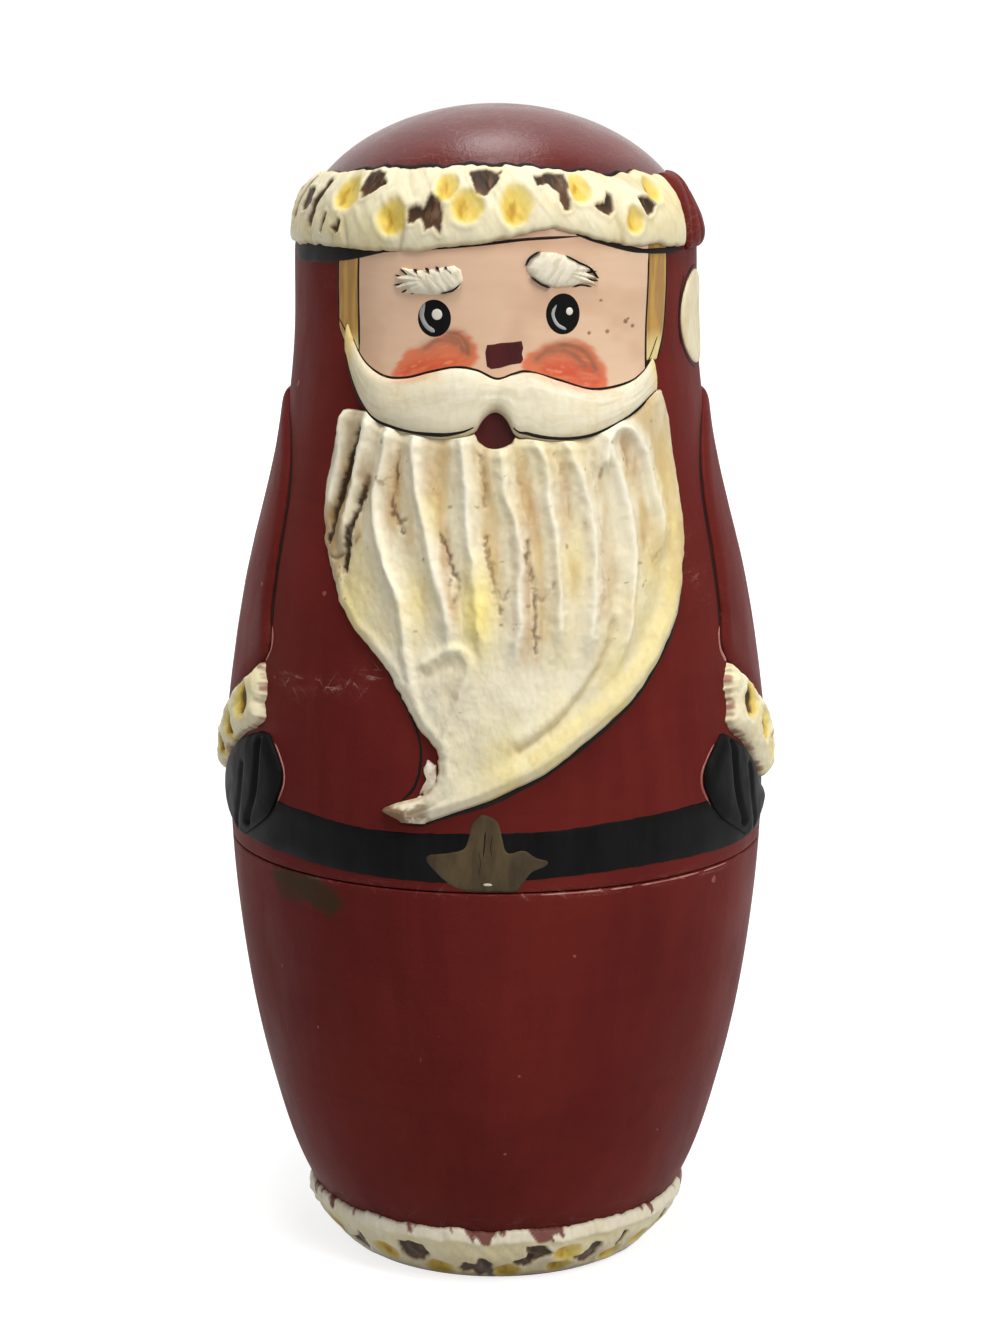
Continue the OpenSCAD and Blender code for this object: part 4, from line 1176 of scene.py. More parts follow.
    colour = blend(colour, linear(140, 106, 62), 0.6 * pits)
    # Painted shade in the fold's crease and the dip by the curl.
    colour = blend(colour, linear(196, 176, 128), 0.5 * crease + 0.3 * dip)
    colour = blend(colour, linear(160, 124, 76), 0.4 * ease((0.6 - edge) * 2.4))
    tip = np.maximum(ease((80.6 - z) / 1.6) * ease((-15.5 - th) / 3), 0.8 * ease((84 - z) / 4) * ease((-12 - th) / 2.5))
    colour = blend(colour, linear(112, 78, 40), 0.9 * tip * ease((cloud(x * 0.9, y * 0.9, 78) - 0.3) * 4))
    obj = sheet(name + "_beard_paste", k, th, z, relief_of(k) * h, body, FUR, colour)
    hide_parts(name + "_beard")


SLEEVE_FRONT = [(80.2, 89), (82, 88), (84, 85.8), (87.5, 80.2), (91.2, 71.7), (93.5, 66.7), (96.4, 61), (104, 61.5),
    (112, 63), (120, 65.2), (126, 69), (131, 76), (135, 86)]
SLEEVE_BACK = [(80.2, 92), (85, 94), (95, 100.5), (104, 107), (114, 111), (122, 112), (128, 109), (133, 102), (135, 97)]
CUFF_FRONT = [(76.2, 74.5), (78, 72.0), (80.5, 68.6), (83.5, 63), (85.4, 57.6), (87, 55.0), (90, 55.3), (93, 56.4),
    (95.9, 60)]
CUFF_BACK = [(76.2, 80), (78.5, 86.4), (81, 87.6), (84, 85.2), (87.5, 79.8), (91.2, 71.2), (93.5, 66), (95.9, 61)]
MITTEN_FRONT = [(68.7, 66), (70.3, 61.3), (73, 54.2), (76.8, 49), (79.3, 47.3), (81, 47.7), (83.6, 50.8), (85.8, 54.6)]
MITTEN_BACK = [(68.7, 68.5), (70.5, 74.6), (73, 78), (74.6, 77.2), (76, 74.2), (78, 71.6), (80.5, 68.4), (83.5, 62.8),
    (85.8, 56)]

LEFT_CUFF_FRONT = [(76.2, 82.6), (77.4, 80.8), (79.5, 77.4), (82, 72.6), (84.2, 65.8), (86, 58.4), (87.2, 55.2),
    (90, 55.3), (93, 56.4), (95.9, 60)]
LEFT_CUFF_BACK = [(76.2, 85), (78.5, 88), (81, 88.4), (84, 85.6), (87.5, 79.8), (91.2, 71.2), (93.5, 66), (95.9, 61)]
LEFT_MITTEN_BACK = [(68.7, 68.5), (70.5, 75.2), (73, 79), (75, 80.4), (77, 80.2), (79.5, 77.2), (82, 72.4),
    (84.2, 66), (86, 57.6)]


# Lowest and highest height of each raised piece of the arm, and of the hat's fold
SLEEVE_Z, CUFF_Z, MITTEN_Z, HAT_FOLD_Z = (80.2, 135.2), (76.2, 95.9), (68.7, 85.8), (156.8, 167.8)


def sleeve_line(z):
    """Angle just in front of the sleeve's edge."""
    return float(track(SLEEVE_FRONT, z)) - 0.55


def beard_line(z):
    """Angle of the beard's right edge."""
    return float(track(BEARD_RIGHT, z))


def edged(z0, z1, front, back, hand, rows, cols, jag=0.0, seed=0):
    """Grids of angle and height between two edges by height on one side of the doll, and the edge distance."""
    v = np.linspace(0, 1, rows)[:, None]
    u = np.linspace(0, 1, cols)[None, :]
    z = z0 + (z1 - z0) * crowd(v, 0.4) + 0 * u
    f, b = track(front, z), track(back, z)
    w = crowd(u, 0.4) + 0 * v
    if hand < 0:
        w = 1 - w
    wave = jag * (sway(z * 0.6, 0 * z, seed) + 0.7 * sway(z * 1.9, 0 * z, seed + 2))
    th = hand * (f + (b - f) * w + wave * ((1 - w) ** 4 - w**4))
    x, y = flat(th, z)
    rim = np.vstack([np.stack([th[:, 0], z[:, 0]], -1), np.stack([th[-1], z[-1]], -1),
        np.stack([th[::-1, -1], z[::-1, -1]], -1), np.stack([th[0, ::-1], z[0, ::-1]], -1)])
    return th, z, x, y, distance(x, y, rim[::2], closed=True)


def hat_fold():
    """The end of the hat that hangs over on one side."""
    front = [(156.8, 66.8), (160, 65.3), (164, 65.2), (166.3, 66.2), (167.8, 69.6)]
    back = [(156.8, 98), (160, 100.4), (164, 100.8), (166.3, 99.8), (167.8, 96)]
    th, z, x, y, edge = edged(*HAT_FOLD_Z, front, back, 1, 60, 80, 0.5, 7)
    h = 1.45 * rounded(edge, 2.6)
    h *= 1 + 0.4 * sway(x * 0.32, y * 0.2, 19)
    for at, lean in ((70.5, 0.25), (77, -0.15), (88, 0.2)):
        h -= 0.4 * bump_at(x - lean * (y - 162), np.radians(at) * HEAD_R, 0.7) * ease((edge - 0.3) / 1.5)
    obj = sheet("outer_hat_fold", 0, th, z, np.maximum(h, 0.12), "outer_top", COAT)
    add_mask(obj, (0.12, 0.0, 0.2))
    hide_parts("outer_hat_tail")


POMPOM_AT = (77.5, 146.6)


def add_mask(obj, value):
    """One value each for wear with painted highlight, smudge, and grime with painted shade, for a whole piece in coat
    paint.
    """
    mesh = obj.data
    data = np.tile(np.array(tuple(value) + (0.0,)), (len(mesh.vertices), 1))
    mesh.attributes.new("mask", "FLOAT_COLOR", "POINT").data.foreach_set("color", data.ravel())


def oval(th, z, w, h, n=24):
    """Outline of an oval, by angle and height."""
    a = np.linspace(0, 2 * math.pi, n, endpoint=False)
    return np.stack([th + w * np.cos(a), z + h * np.sin(a)], -1)


def button(name, grid, centre, h, peak, colour):
    """A closed dab on the outer doll, from rings of angle and height that shrink to a centre."""
    rings, n = h.shape
    verts = list(place(0, grid[..., 0], grid[..., 1], h).reshape(-1, 3))
    verts += [place(0, centre[0], centre[1], peak), place(0, centre[0], centre[1], -0.1)]
    at = lambda r, j: r * n + j % n
    faces = [(at(r, j), at(r, j + 1), at(r + 1, j + 1), at(r + 1, j)) for r in range(rings - 1) for j in range(n)]
    faces += [(at(rings - 1, j), at(rings - 1, j + 1), rings * n) for j in range(n)]
    faces += [(at(0, j + 1), at(0, j), rings * n + 1) for j in range(n)]
    colour = np.vstack([colour.reshape(-1, 3), colour[-1, :1], colour[0, :1]])
    return new_object(name, verts, faces, "outer_top", FUR, colour)


def pompom():
    """The fur ball at the end of the hat's fold."""
    rows, peak = 40, 0.42
    centre = np.array(POMPOM_AT)
    f = np.linspace(1, 0.02, rows)[:, None, None]
    grid = centre + (oval(*POMPOM_AT, 14, 7.1, 120)[None] - centre) * f
    th, z = grid[..., 0], grid[..., 1]
    x, y = flat(th, z)
    h = peak * rounded((1 - f[..., 0]) * 7, 1.2) + 0.12 * sway(x * 0.6, y * 0.5, 3)
    colour = plain(z, 240, 229, 194)
    colour = blend(colour, linear(222, 202, 150), 0.7 * ease((cloud(x * 0.4, y * 0.25, 13) - 0.45) * 3))
    h = np.maximum(h, 0.08) + 0 * th
    h[-1] = h[-2]
    h = np.where(np.arange(rows)[:, None] == 0, -0.06, h)
    obj = button("outer_pompom_paste", grid, centre, h, peak, colour)
    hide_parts("outer_hat_pompom")


def arms():
    """Sleeves, cuffs and mittens, with a painted highlight along each mitten's inner edge and a rubbed mark at each
    sleeve's seam.
    """
    rubs_and_glints = []
    for side, hand in (("left", -1), ("right", 1)):
        th, z, x, y, edge = edged(*SLEEVE_Z, SLEEVE_FRONT, SLEEVE_BACK, hand, 150, 90, 0.4, 3 + hand)
        h = 0.95 * rounded(edge, 2.4) * (1 + 0.2 * sway(x * 0.12, y * 0.08, 9))
        obj = sheet(f"outer_{side}_sleeve_relief", 0, th, z, np.maximum(h, 0.08), "outer_top", COAT)
        add_mask(obj, (0.025, 0.0, 0.12))
        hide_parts(f"outer_{side}_sleeve")

        front = [(zz, tt + 3.4 * bump_at(zz, 89.5, 6)) for zz, tt in (LEFT_CUFF_FRONT if hand < 0 else CUFF_FRONT)]
        back = LEFT_CUFF_BACK if hand < 0 else CUFF_BACK
        th, z, x, y, edge = edged(*CUFF_Z, front, back, hand, 110, 110, 1.5, 11 + hand)
        browns = [(hand * 65, 89.8, EGG, 1.0), (hand * 72.5, 85.4, EGG, 0.85), (hand * 79.5, 81.2, WEDGE, 0.8)]
        yellows = [(hand * 65.5, 89.6, 2.7, 3.0), (hand * 73, 85.0, 2.4, 2.6), (hand * 80, 80.6, 2.2, 2.0)]
        lift, colour = fur_look(th, z, browns, yellows, BELLY_R)
        h = 2.0 * rounded(edge, 2.2) * (1 + 0.35 * sway(x * 0.3, y * 0.3, 12))
        h += (lift + 0.35 * sway(x * 0.9, y * 0.9, 14)) * ease(edge / 1.2)
        colour = blend(colour, linear(150, 66, 60),
            0.7 * ease((0.7 - edge) * 2.4) * ease((cloud(x * 0.9, y * 0.9, 16) - 0.45) * 5))
        h = np.maximum(h, 0.1) * ease(edge / 0.3 + 0.2)
        obj = sheet(f"outer_{side}_fur_cuff", 0, th, z, h, "outer_top", FUR, colour)
        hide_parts(f"outer_{side}_cuff")

        front = [(zz, tt + (2.6 if hand < 0 else 0.6) * bump_at(zz, 79, 7)) for zz, tt in MITTEN_FRONT]
        back = LEFT_MITTEN_BACK if hand < 0 else MITTEN_BACK
        th, z, x, y, edge = edged(*MITTEN_Z, front, back, hand, 100, 100, 0.3, 21 + hand)
        h = 1.3 * rounded(edge, 2.4)
        thumb_line = [(hand * a, zz) for a, zz in ((57.5, 84.4), (57.6, 80), (58.6, 76), (62, 71.6))]
        fold_line = [(hand * a, zz) for a, zz in ((64.5, 80), (65.5, 75), (67.5, 70.5))]
        thumb = distance(x, y, smooth_line(thumb_line, 24))
        fold = distance(x, y, smooth_line(fold_line, 20))
        h = h - 0.75 * bump_at(thumb, 0, 0.6) * ease(edge) - 0.4 * bump_at(fold, 0, 0.7) * ease(edge)
        h += 0.2 * sway(x * 0.4, y * 0.25, 24)
        obj = sheet(f"outer_{side}_mitten_relief", 0, th, z, np.maximum(h, 0.08), "outer_top", BLACK)
        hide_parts(f"outer_{side}_mitten")
        # Pale strokes: a painted highlight along the mitten's inner edge, and rubbed paint at the sleeve's seam.
        inner = [(hand * (float(track(front, zz)) - 0.5), zz) for zz in (75.4, 77, 79, 81, 83, 84.6)]
        seam = [(hand * sleeve_line(zz), zz) for zz in (96.2, 98, 99.8, 101.4)]
        rubs_and_glints += [stroke(0, inner, 0.4, 0.07, taper=(0.1, 0.3), wobble=0.8, seed=70 + hand),
            stroke(0, seam, 0.55, 0.12, taper=(0.6, 0.1), wobble=0.8, seed=74 + hand)]
    gather("outer_hand_wear_and_highlight", rubs_and_glints, "outer_top", RUBBED_AND_HIGHLIT)


BROWS = {
    "left": [(-8.6, 153.5), (-9.2, 155.0), (-11.1, 155.6), (-14.2, 155.3), (-17.8, 155.0), (-21.4, 154.8),
        (-26.5, 155.2), (-24.4, 154.2), (-28.4, 153.7), (-25.2, 153.2), (-28.4, 152.2), (-24.6, 152.2), (-25.4, 151.4),
        (-21.4, 151.5), (-17.4, 151.3), (-12.7, 151.6), (-9.6, 152.3)],
    "right": [(7.9, 155.4), (9.0, 156.5), (12.5, 157.5), (16.4, 157.4), (19.6, 156.8), (23.3, 155.9), (27.2, 155.1),
        (25.0, 154.5), (29.0, 153.6), (25.2, 153.7), (28.8, 152.6), (24.2, 153.0), (21.3, 152.6), (16.4, 152.4),
        (12.5, 152.8), (9.4, 153.9)],
}
BROW_HAIRS = [[(-28.2, 154.1), (-25, 153.6), (-23.2, 153.5)], [(-28.6, 152.6), (-25, 152.9), (-23.4, 153.0)],
    [(-26.6, 154.9), (-24.2, 154.1), (-22.8, 153.9)], [(-26.2, 151.6), (-24.1, 152.1)],
    [(-23.4, 151.4), (-21.2, 151.9)], [(28.2, 154.6), (25.2, 154.4), (23.4, 154.4)],
    [(28.8, 153.2), (25.4, 153.5), (23.8, 153.6)], [(26.8, 152.4), (23.6, 152.7), (21, 152.4)]]
BROW_SHADES = [[(-22.2, 155.0), (-20.8, 154.2)], [(-18.9, 155.2), (-17.5, 154.4)], [(-16.1, 155.4), (-14.4, 154.5)],
    [(-13.6, 155.4), (-11.6, 154.5)], [(-14.6, 151.6), (-11.4, 152.1), (-9.1, 153.1)],
    [(8.0, 155.6), (9.2, 156.7), (12.0, 157.6)], [(19.2, 156.9), (22.4, 156.0), (26.2, 155.0), (28.4, 153.6)],
    [(14.6, 152.4), (12, 153.0), (9.4, 154.0)]]
BROW_AT = {"left": (-17.5, 153.4), "right": (16.8, 154.8)}


def brows():
    """The two raised brows."""
    for side, outline in BROWS.items():
        rings, peak = 26, 0.8
        loop = corner_line(outline, 170)
        centre = np.array(BROW_AT[side])
        if np.sum(loop[:, 0] * np.roll(loop[:, 1], -1) - np.roll(loop[:, 0], -1) * loop[:, 1]) < 0:
            loop = loop[::-1]
        f = np.linspace(1, 0.03, rings)[:, None, None]
        grid = centre + (loop[None] - centre) * f
        th, z = grid[..., 0], grid[..., 1]
        x, y = flat(th, z)
        lean = 1 if side == "left" else -1
        hairs = cloud(x * 1.5 + lean * y * 0.9, y * 0.5, 5, 4)
        h = peak * np.sqrt(np.clip(1 - f[..., 0] ** 3, 0, 1)) + 0.22 * (hairs - 0.5)
        h = np.where(np.arange(rings)[:, None] == 0, -0.05, np.maximum(h, 0.12))
        colour = plain(z, 240, 232, 210)
        colour = blend(colour, linear(206, 194, 166), 0.5 * ease((0.5 - hairs) * 5))
        obj = button(f"outer_{side}_brow_dab", grid, centre, h, peak, colour)
        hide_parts(f"outer_{side}_brow")


# Painted pieces
FACE_Z, HAIR_Z = (136.5, 161.3), (141.2, 158.5)
FACE_COAT, HAIR_COAT, BELT_COAT, PAINT_SINK = 0.05, 0.06, 0.06, 0.03
BLUSH = [
    ([(-28.9, 139.2), (-25.2, 142.6), (-17.7, 144.8), (-11.3, 146.2), (-6.6, 145.2), (-4.9, 143.2), (-6.6, 141.2),
        (-14.4, 139.6), (-22.5, 138.6)], 5, 0.35),
    ([(7.2, 140.6), (8.7, 142.8), (13.5, 144.3), (20.0, 144.9), (25.9, 143.8), (30.1, 141.2), (31.3, 138.7),
        (28.9, 137.0), (23.0, 137.2), (14.9, 138.6)], 9, -0.2),
]
CHEEK_LINES = [
    [(-19.3, 143.9), (-16.1, 144.8), (-12.9, 145.0), (-10.5, 144.6)],
    [(-12.9, 146.0), (-9.7, 145.7), (-7.8, 144.5), (-7.4, 143.2)],
    [(-13.6, 145.4), (-10.4, 145.0), (-8.6, 143.6)],
    [(11.1, 142.4), (15.1, 143.8), (19.9, 144.1), (25.0, 143.0), (27.8, 140.5)],
    [(13.5, 143.2), (18.3, 143.5), (21.5, 142.8), (24.6, 141.2)],
]
FRECKLES = [(26, 145.8, 0.22), (31.7, 145.9, 0.26), (37.9, 147.2, 0.32), (40.4, 146.5, 0.26), (29.7, 150.4, 0.2),
    (38.8, 147.6, 0.18)]


def face(k):
    """Flesh paint with blush, two strips of hair, eyes, nose and mouth, with painted shade under the hat band and on
    the left side.
    """
    name, s = NAMES[k], size_of(k)
    body = body_of(k, "top")
    cols, rows = int(300 * max(s, 0.45)), int(150 * max(s, 0.45))
    v = np.linspace(0, 1, rows)[:, None]
    u = np.linspace(0, 1, cols)[None, :]
    z = FACE_Z[0] + (FACE_Z[1] - FACE_Z[0]) * v + 0 * u
    left, right = -40.6 + 0 * z, track([(136, 44.2), (141, 44.9), (148, 45.8), (157, 47), (162, 47.2)], z)
    th = left + (right - left) * u
    z = np.maximum(z, track(MOUSTACHE_LOW, th) + 2.0)
    x, y = flat(th, z)
    colour = plain(z, 231, 193, 162)
    # Painted light: the skin is a little lighter towards the right side.
    colour = blend(colour, linear(232, 198, 166), ease((th - 5) / 30))
    colour = blend(colour, linear(214, 172, 140), 0.6 * ease((cloud(x * 0.16, y * 0.2, 3) - 0.45) * 3))
    for outline, seed, lean in BLUSH:
        loop = smooth_line(outline, 40, closed=True)
        px, py = flat(loop[:, 0], loop[:, 1])
        gap = signed_gap(x, y, list(zip(px, py)))
        streak = cloud((x + lean * y) * 0.35, (y - lean * x) * 1.5, seed, 4)
        soft = ease(0.55 - (gap + 1.2 * (streak - 0.5)) / 1.0)
        colour = blend(colour, linear(222, 110, 60), 0.92 * soft)
        depth = ease((0.2 - gap) / 2.4)
        low = ease((143.6 - y + (0.06 if lean < 0 else 0.12) * (x - px.mean())) / 3.4)
        colour = blend(colour, linear(208, 64, 20), 0.88 * depth * (0.25 + 0.75 * low) * ease((streak - 0.22) * 3))
        colour = blend(colour, linear(238, 150, 108), 0.7 * depth * ease((streak - 0.6) * 8))
    crease = np.full(x.shape, FAR_OFF)
    for i, line in enumerate(CHEEK_LINES):
        shaky = y + 0.4 * sway(x * 0.9, y * 0.9, 33 + i)
        crease = np.minimum(crease, distance(x, shaky, smooth_line(line, 22)))
    colour = blend(colour, linear(92, 62, 46),
        0.9 * bump_at(crease, 0, 0.34) * (0.35 + 0.65 * cloud(x * 0.7, y * 1.1, 15)))
    colour = blend(colour, linear(150, 96, 70), 0.45 * bump_at(crease, 0, 0.95))
    if k == 0:
        for sth, sz, r in FRECKLES:
            sx, sy = flat(sth, sz)
            colour = blend(colour, linear(116, 76, 48), 0.85 * ease((1.3 - np.hypot((x - sx) * 0.8, y - sy) / r) * 2))
    # Painted shade: darker along the top of the face under the hat band, and towards the left side.
    colour = blend(colour, linear(182, 138, 108), 0.6 * ease((z - 156.6) / 2.5))
    colour = blend(colour, linear(190, 150, 118), 0.4 * ease((-30 - th) / 10))
    h = np.full(z.shape, FACE_COAT * s)
    sheet(name + "_face_paint", k, th, z, h, body, SKIN, colour, sink=PAINT_SINK)

    for i in range(2):
        n, m = 60, 16
        v = np.linspace(0, 1, n)[:, None]
        u = np.linspace(0, 1, m)[None, :]
        zz = HAIR_Z[0] + (HAIR_Z[1] - HAIR_Z[0]) * v + 0 * u
        if i == 0:
            l = track([(141, -42.6), (143.5, -45.2), (146, -48.2), (150, -48.7), (159, -48.6)], zz)
            r = np.full_like(zz, -40.3)
        else:
            l = track([(141, 45), (148, 45.7), (157, 46.8), (159, 47)], zz)
            r = track([(141, 49.6), (145, 53.2), (150, 54.7), (159, 55.2)], zz)
        tt = l + (r - l) * u
        hx, hy = flat(tt, zz)
        tone = plain(zz, 196, 150, 66)
        tone = blend(tone, linear(150, 108, 44), 0.7 * ease((cloud(hx * 1.2, hy * 0.12, 43 + i) - 0.42) * 4))
        tone = blend(tone, linear(238, 222, 158),
            ease((146.2 - zz) / 3.2) * (0.6 + 0.4 * cloud(hx * 0.8, hy * 0.3, 47)))
        # Painted shade: darker at the top of the strip under the hat band.
        tone = blend(tone, linear(112, 78, 34), 0.5 * ease((zz - 155.4) / 2))
        sheet(f"{name}_hair_paint_{i}", k, tt, zz, np.full(zz.shape, HAIR_COAT * s), body, SKIN, tone, sink=PAINT_SINK)

    eyes = [blot(k, oval(-16.7, 148.05, 5.35, 3.05), 10, 0.1), blot(k, oval(18.4, 148.65, 5.5, 3.35), 10, 0.1)]
    gather(name + "_eye_paint", eyes, body, BLACK)
    glints = [blot(k, oval(-15.9, 148.6, 1.7, 0.92, 16), 5, 0.17, n=40),
        blot(k, oval(20.2, 149.0, 1.15, 0.64, 16), 5, 0.17, n=40)]
    gather(name + "_eye_lights", glints, body, WHITE)
    moons = [stroke(k, [(-19.3, 150.2), (-20.2, 148.5), (-19.0, 147.0), (-16.6, 146.1)], 1.0, 0.15, taper=(0.2, 0.45)),
             stroke(k, [(16.6, 150.0), (15.5, 148.7), (16.7, 147.2), (19.2, 146.4)], 0.72, 0.15, taper=(0.25, 0.4))]
    gather(name + "_eye_crescents", moons, body, GREY)
    nose = blot(k, [(-3.3, 143.4), (-2.8, 144.5), (-0.4, 144.6), (1.1, 144.8), (4.6, 144.9), (7.4, 145.1),
        (7.9, 144.0), (7.5, 143.2), (7.9, 142.2), (7.2, 141.6), (4.4, 141.4), (1.1, 140.9), (-1.6, 140.7),
        (-2.8, 141.1)], 8, 0.16, wave=0.04, n=140, smooth=False)
    mouth = blot(k, oval(-0.3, 131.6, 7.6, 4.0), 8, 0.12, n=60)
    gather(name + "_nose_mouth_paint", [nose, mouth], body, MAROON)


def line_work(k):
    """Dark brush lines round the painted and raised pieces, and on the outer doll a painted shadow line along the top
    of the hat band and a painted shadow patch under its left end.
    """
    name, s = NAMES[k], size_of(k)
    body = body_of(k, "top")
    rel = relief_of(k) / s
    lines = [
        stroke(k, [(-40.4, 157.6), (-40.6, 152), (-40.4, 147), (-40.1, 142.8)], 0.46, 0.1, seed=1),
        stroke(k, [(-48.6, 157.5), (-48.8, 151), (-48.4, 146.6)], 0.32, 0.1, seed=2),
        stroke(k, [(-48.4, 147.4), (-45.2, 145.4), (-42.6, 143.4), (-41, 142.4)], 0.3, 0.13, seed=3),
        stroke(k, [(46.9, 157.6), (46.3, 151), (45.6, 146), (45.1, 141), (45, 139.4)], 0.46, 0.1, seed=4),
        stroke(k, [(55.2, 157.2), (54.8, 150), (53.2, 145), (50.2, 141.2)], 0.32, 0.1, seed=5),
        stroke(k, [(50.4, 144.6), (48, 142.6), (45.6, 140.8)], 0.26, 0.13, seed=6),
    ]
    lines.append(stroke(k, [(at, z + 0.15) for at, z in MOUSTACHE_HIGH[1:]], 0.42, 0.12, seed=7))
    th = np.linspace(-44.2, 47.6, 84)
    low, high = track(MOUSTACHE_LOW, th), track(MOUSTACHE_HIGH, th)
    for part in (th < -4.6, th > 4.0):
        v = 0.085 + 0 * th[part]
        lift = moustache_lift(th[part], v) * rel
        path = np.column_stack([th[part], low[part] + v * (high - low)[part], lift + 0.02])
        lines.append(stroke(k, path, 0.6, 0.1, wobble=0.3, seed=8))
    out = [(beard_line(z) + 0.5, z) for z in (77.2, 80, 83, 86, 90, 94, 98, 102, 107, 112, 117)]
    if k == 0:
        over = np.linspace(-72, 62, 60)
        edge = band_edges(over)[1]
        shadow = [(-77, 158.0), (-77, 155.2), (-64, 155.1), (-53.9, 155.2), (-46, 155.5), (-41.5, 155.8), (-34, 156.6),
            (-28, 157.4), (-40, 157.6), (-62, 158.4)]
        tip = [(-25.0, 99.9), (-21.5, 95.9), (-17.9, 91.9), (-15.6, 88), (-15.4, 84.5), (-16.6, 81.4), (-19.4, 79.2)]
        under = [(-40, 157.0), (-29.6, 157.5), (-22.7, 157.9), (-14.5, 158.1), (-2, 158.7), (8.9, 159.3), (23.6, 159.6)]
        right_under = [(22.6, 159.9), (29.4, 158.9), (35.8, 158), (44.1, 157.2), (54.1, 157.0), (64.5, 156.9)]
        sleeve = [(sleeve_line(z), z) for z in (132, 129, 124, 118, 110, 103, 97.5)]
        lines += [
            stroke(k, under, 0.5, 0.12, seed=9),
            stroke(k, right_under, 0.95, 0.12, wobble=0.3, seed=10),
            # Painted shadow line along the top of the hat band.
            stroke(k, np.column_stack([over, edge + 0.26]), 0.9, 0.07, taper=(0.0, 0.0), wobble=0.6, seed=12),
            stroke(k, [(-th, z) for th, z in sleeve], 0.62, 0.09, wobble=0.4, seed=40),
            stroke(k, sleeve, 0.7, 0.09, wobble=0.4, seed=41),
            stroke(k, oval(*POMPOM_AT, 14.9, 7.6, 40)[10:31], 0.45, 0.1, seed=42),
            stroke(k, [(66, 153), (63.2, 150), (62.2, 146.5), (63, 143)], 0.22, 0.08, seed=43),
            stroke(k, [(-20, 75.9), (-15, 75.9)] + out, 1.0, 0.08, taper=(0.1, 0.0), wobble=0.4, seed=44),
            stroke(k, tip, 0.5, 0.08, wobble=0.4, seed=45),
            stroke(k, [(-27.0, 101.2), (-25.2, 99.6), (-24.2, 98.3)], 1.0, 0.08, taper=(0.1, 0.1), wobble=0.5, seed=46),
            blot(k, shadow, 10, 0.09, wave=0.06, n=140),
        ]
        lines += [stroke(k, b, 0.32, 0.74, seed=60 + i, taper=(0.3, 0.1)) for i, b in enumerate(BROW_SHADES)]
        lines += [stroke(k, b, 0.28, 0.2, seed=20 + i, taper=(0.25, 0.15)) for i, b in enumerate(BROW_HAIRS)]
    else:
        under = [(-58, 156.4), (-37, 156.8), (-20, 157.6), (0, 159.0), (18, 159.6), (36, 157.8), (58, 156.8)]
        sleeve = [(sleeve_line(z), z) for z in (132, 126, 118, 110, 103, 97.5)]
        lines += [
            stroke(k, under, 0.5, 0.1, seed=9),
            stroke(k, [(-th, z) for th, z in sleeve], 0.6, 0.08, seed=12),
            stroke(k, sleeve, 0.6, 0.08, seed=13),
            stroke(k, [(-20, 75.9), (-15, 75.9)] + out, 0.9, 0.07, taper=(0.1, 0.0), wobble=0.3, seed=14),
        ]
        left_brow = [(-28, 152.4), (-23, 154.4), (-16, 154.6), (-9, 153.6)]
        right_brow = [(8.4, 154.8), (15, 155.6), (22, 154.8), (28, 152.8)]
        white = [stroke(k, left_brow, 2.2, 0.16, taper=(0.1, 0.2), seed=10),
            stroke(k, right_brow, 2.2, 0.16, taper=(0.2, 0.1), seed=11)]
        gather(name + "_brow_paint", white, body, WHITE)
    gather(name + "_brush_lines", lines, body, LINE)


BELT_LOW = [(-180, 68.6), (-64, 68.6), (-45.8, 68.2), (-30, 67.7), (-11.8, 67.5), (5.9, 68.0), (17.7, 68.4),
    (35.4, 68.6), (57.5, 68.3), (180, 68.6)]
BELT_HIGH = [(-180, 76.4), (-52, 76.4), (-39.8, 75.6), (-28.2, 74.9), (-13.3, 74.9), (-1, 75.2), (9.7, 75.3),
    (26, 76.1), (46, 76.6), (180, 76.4)]


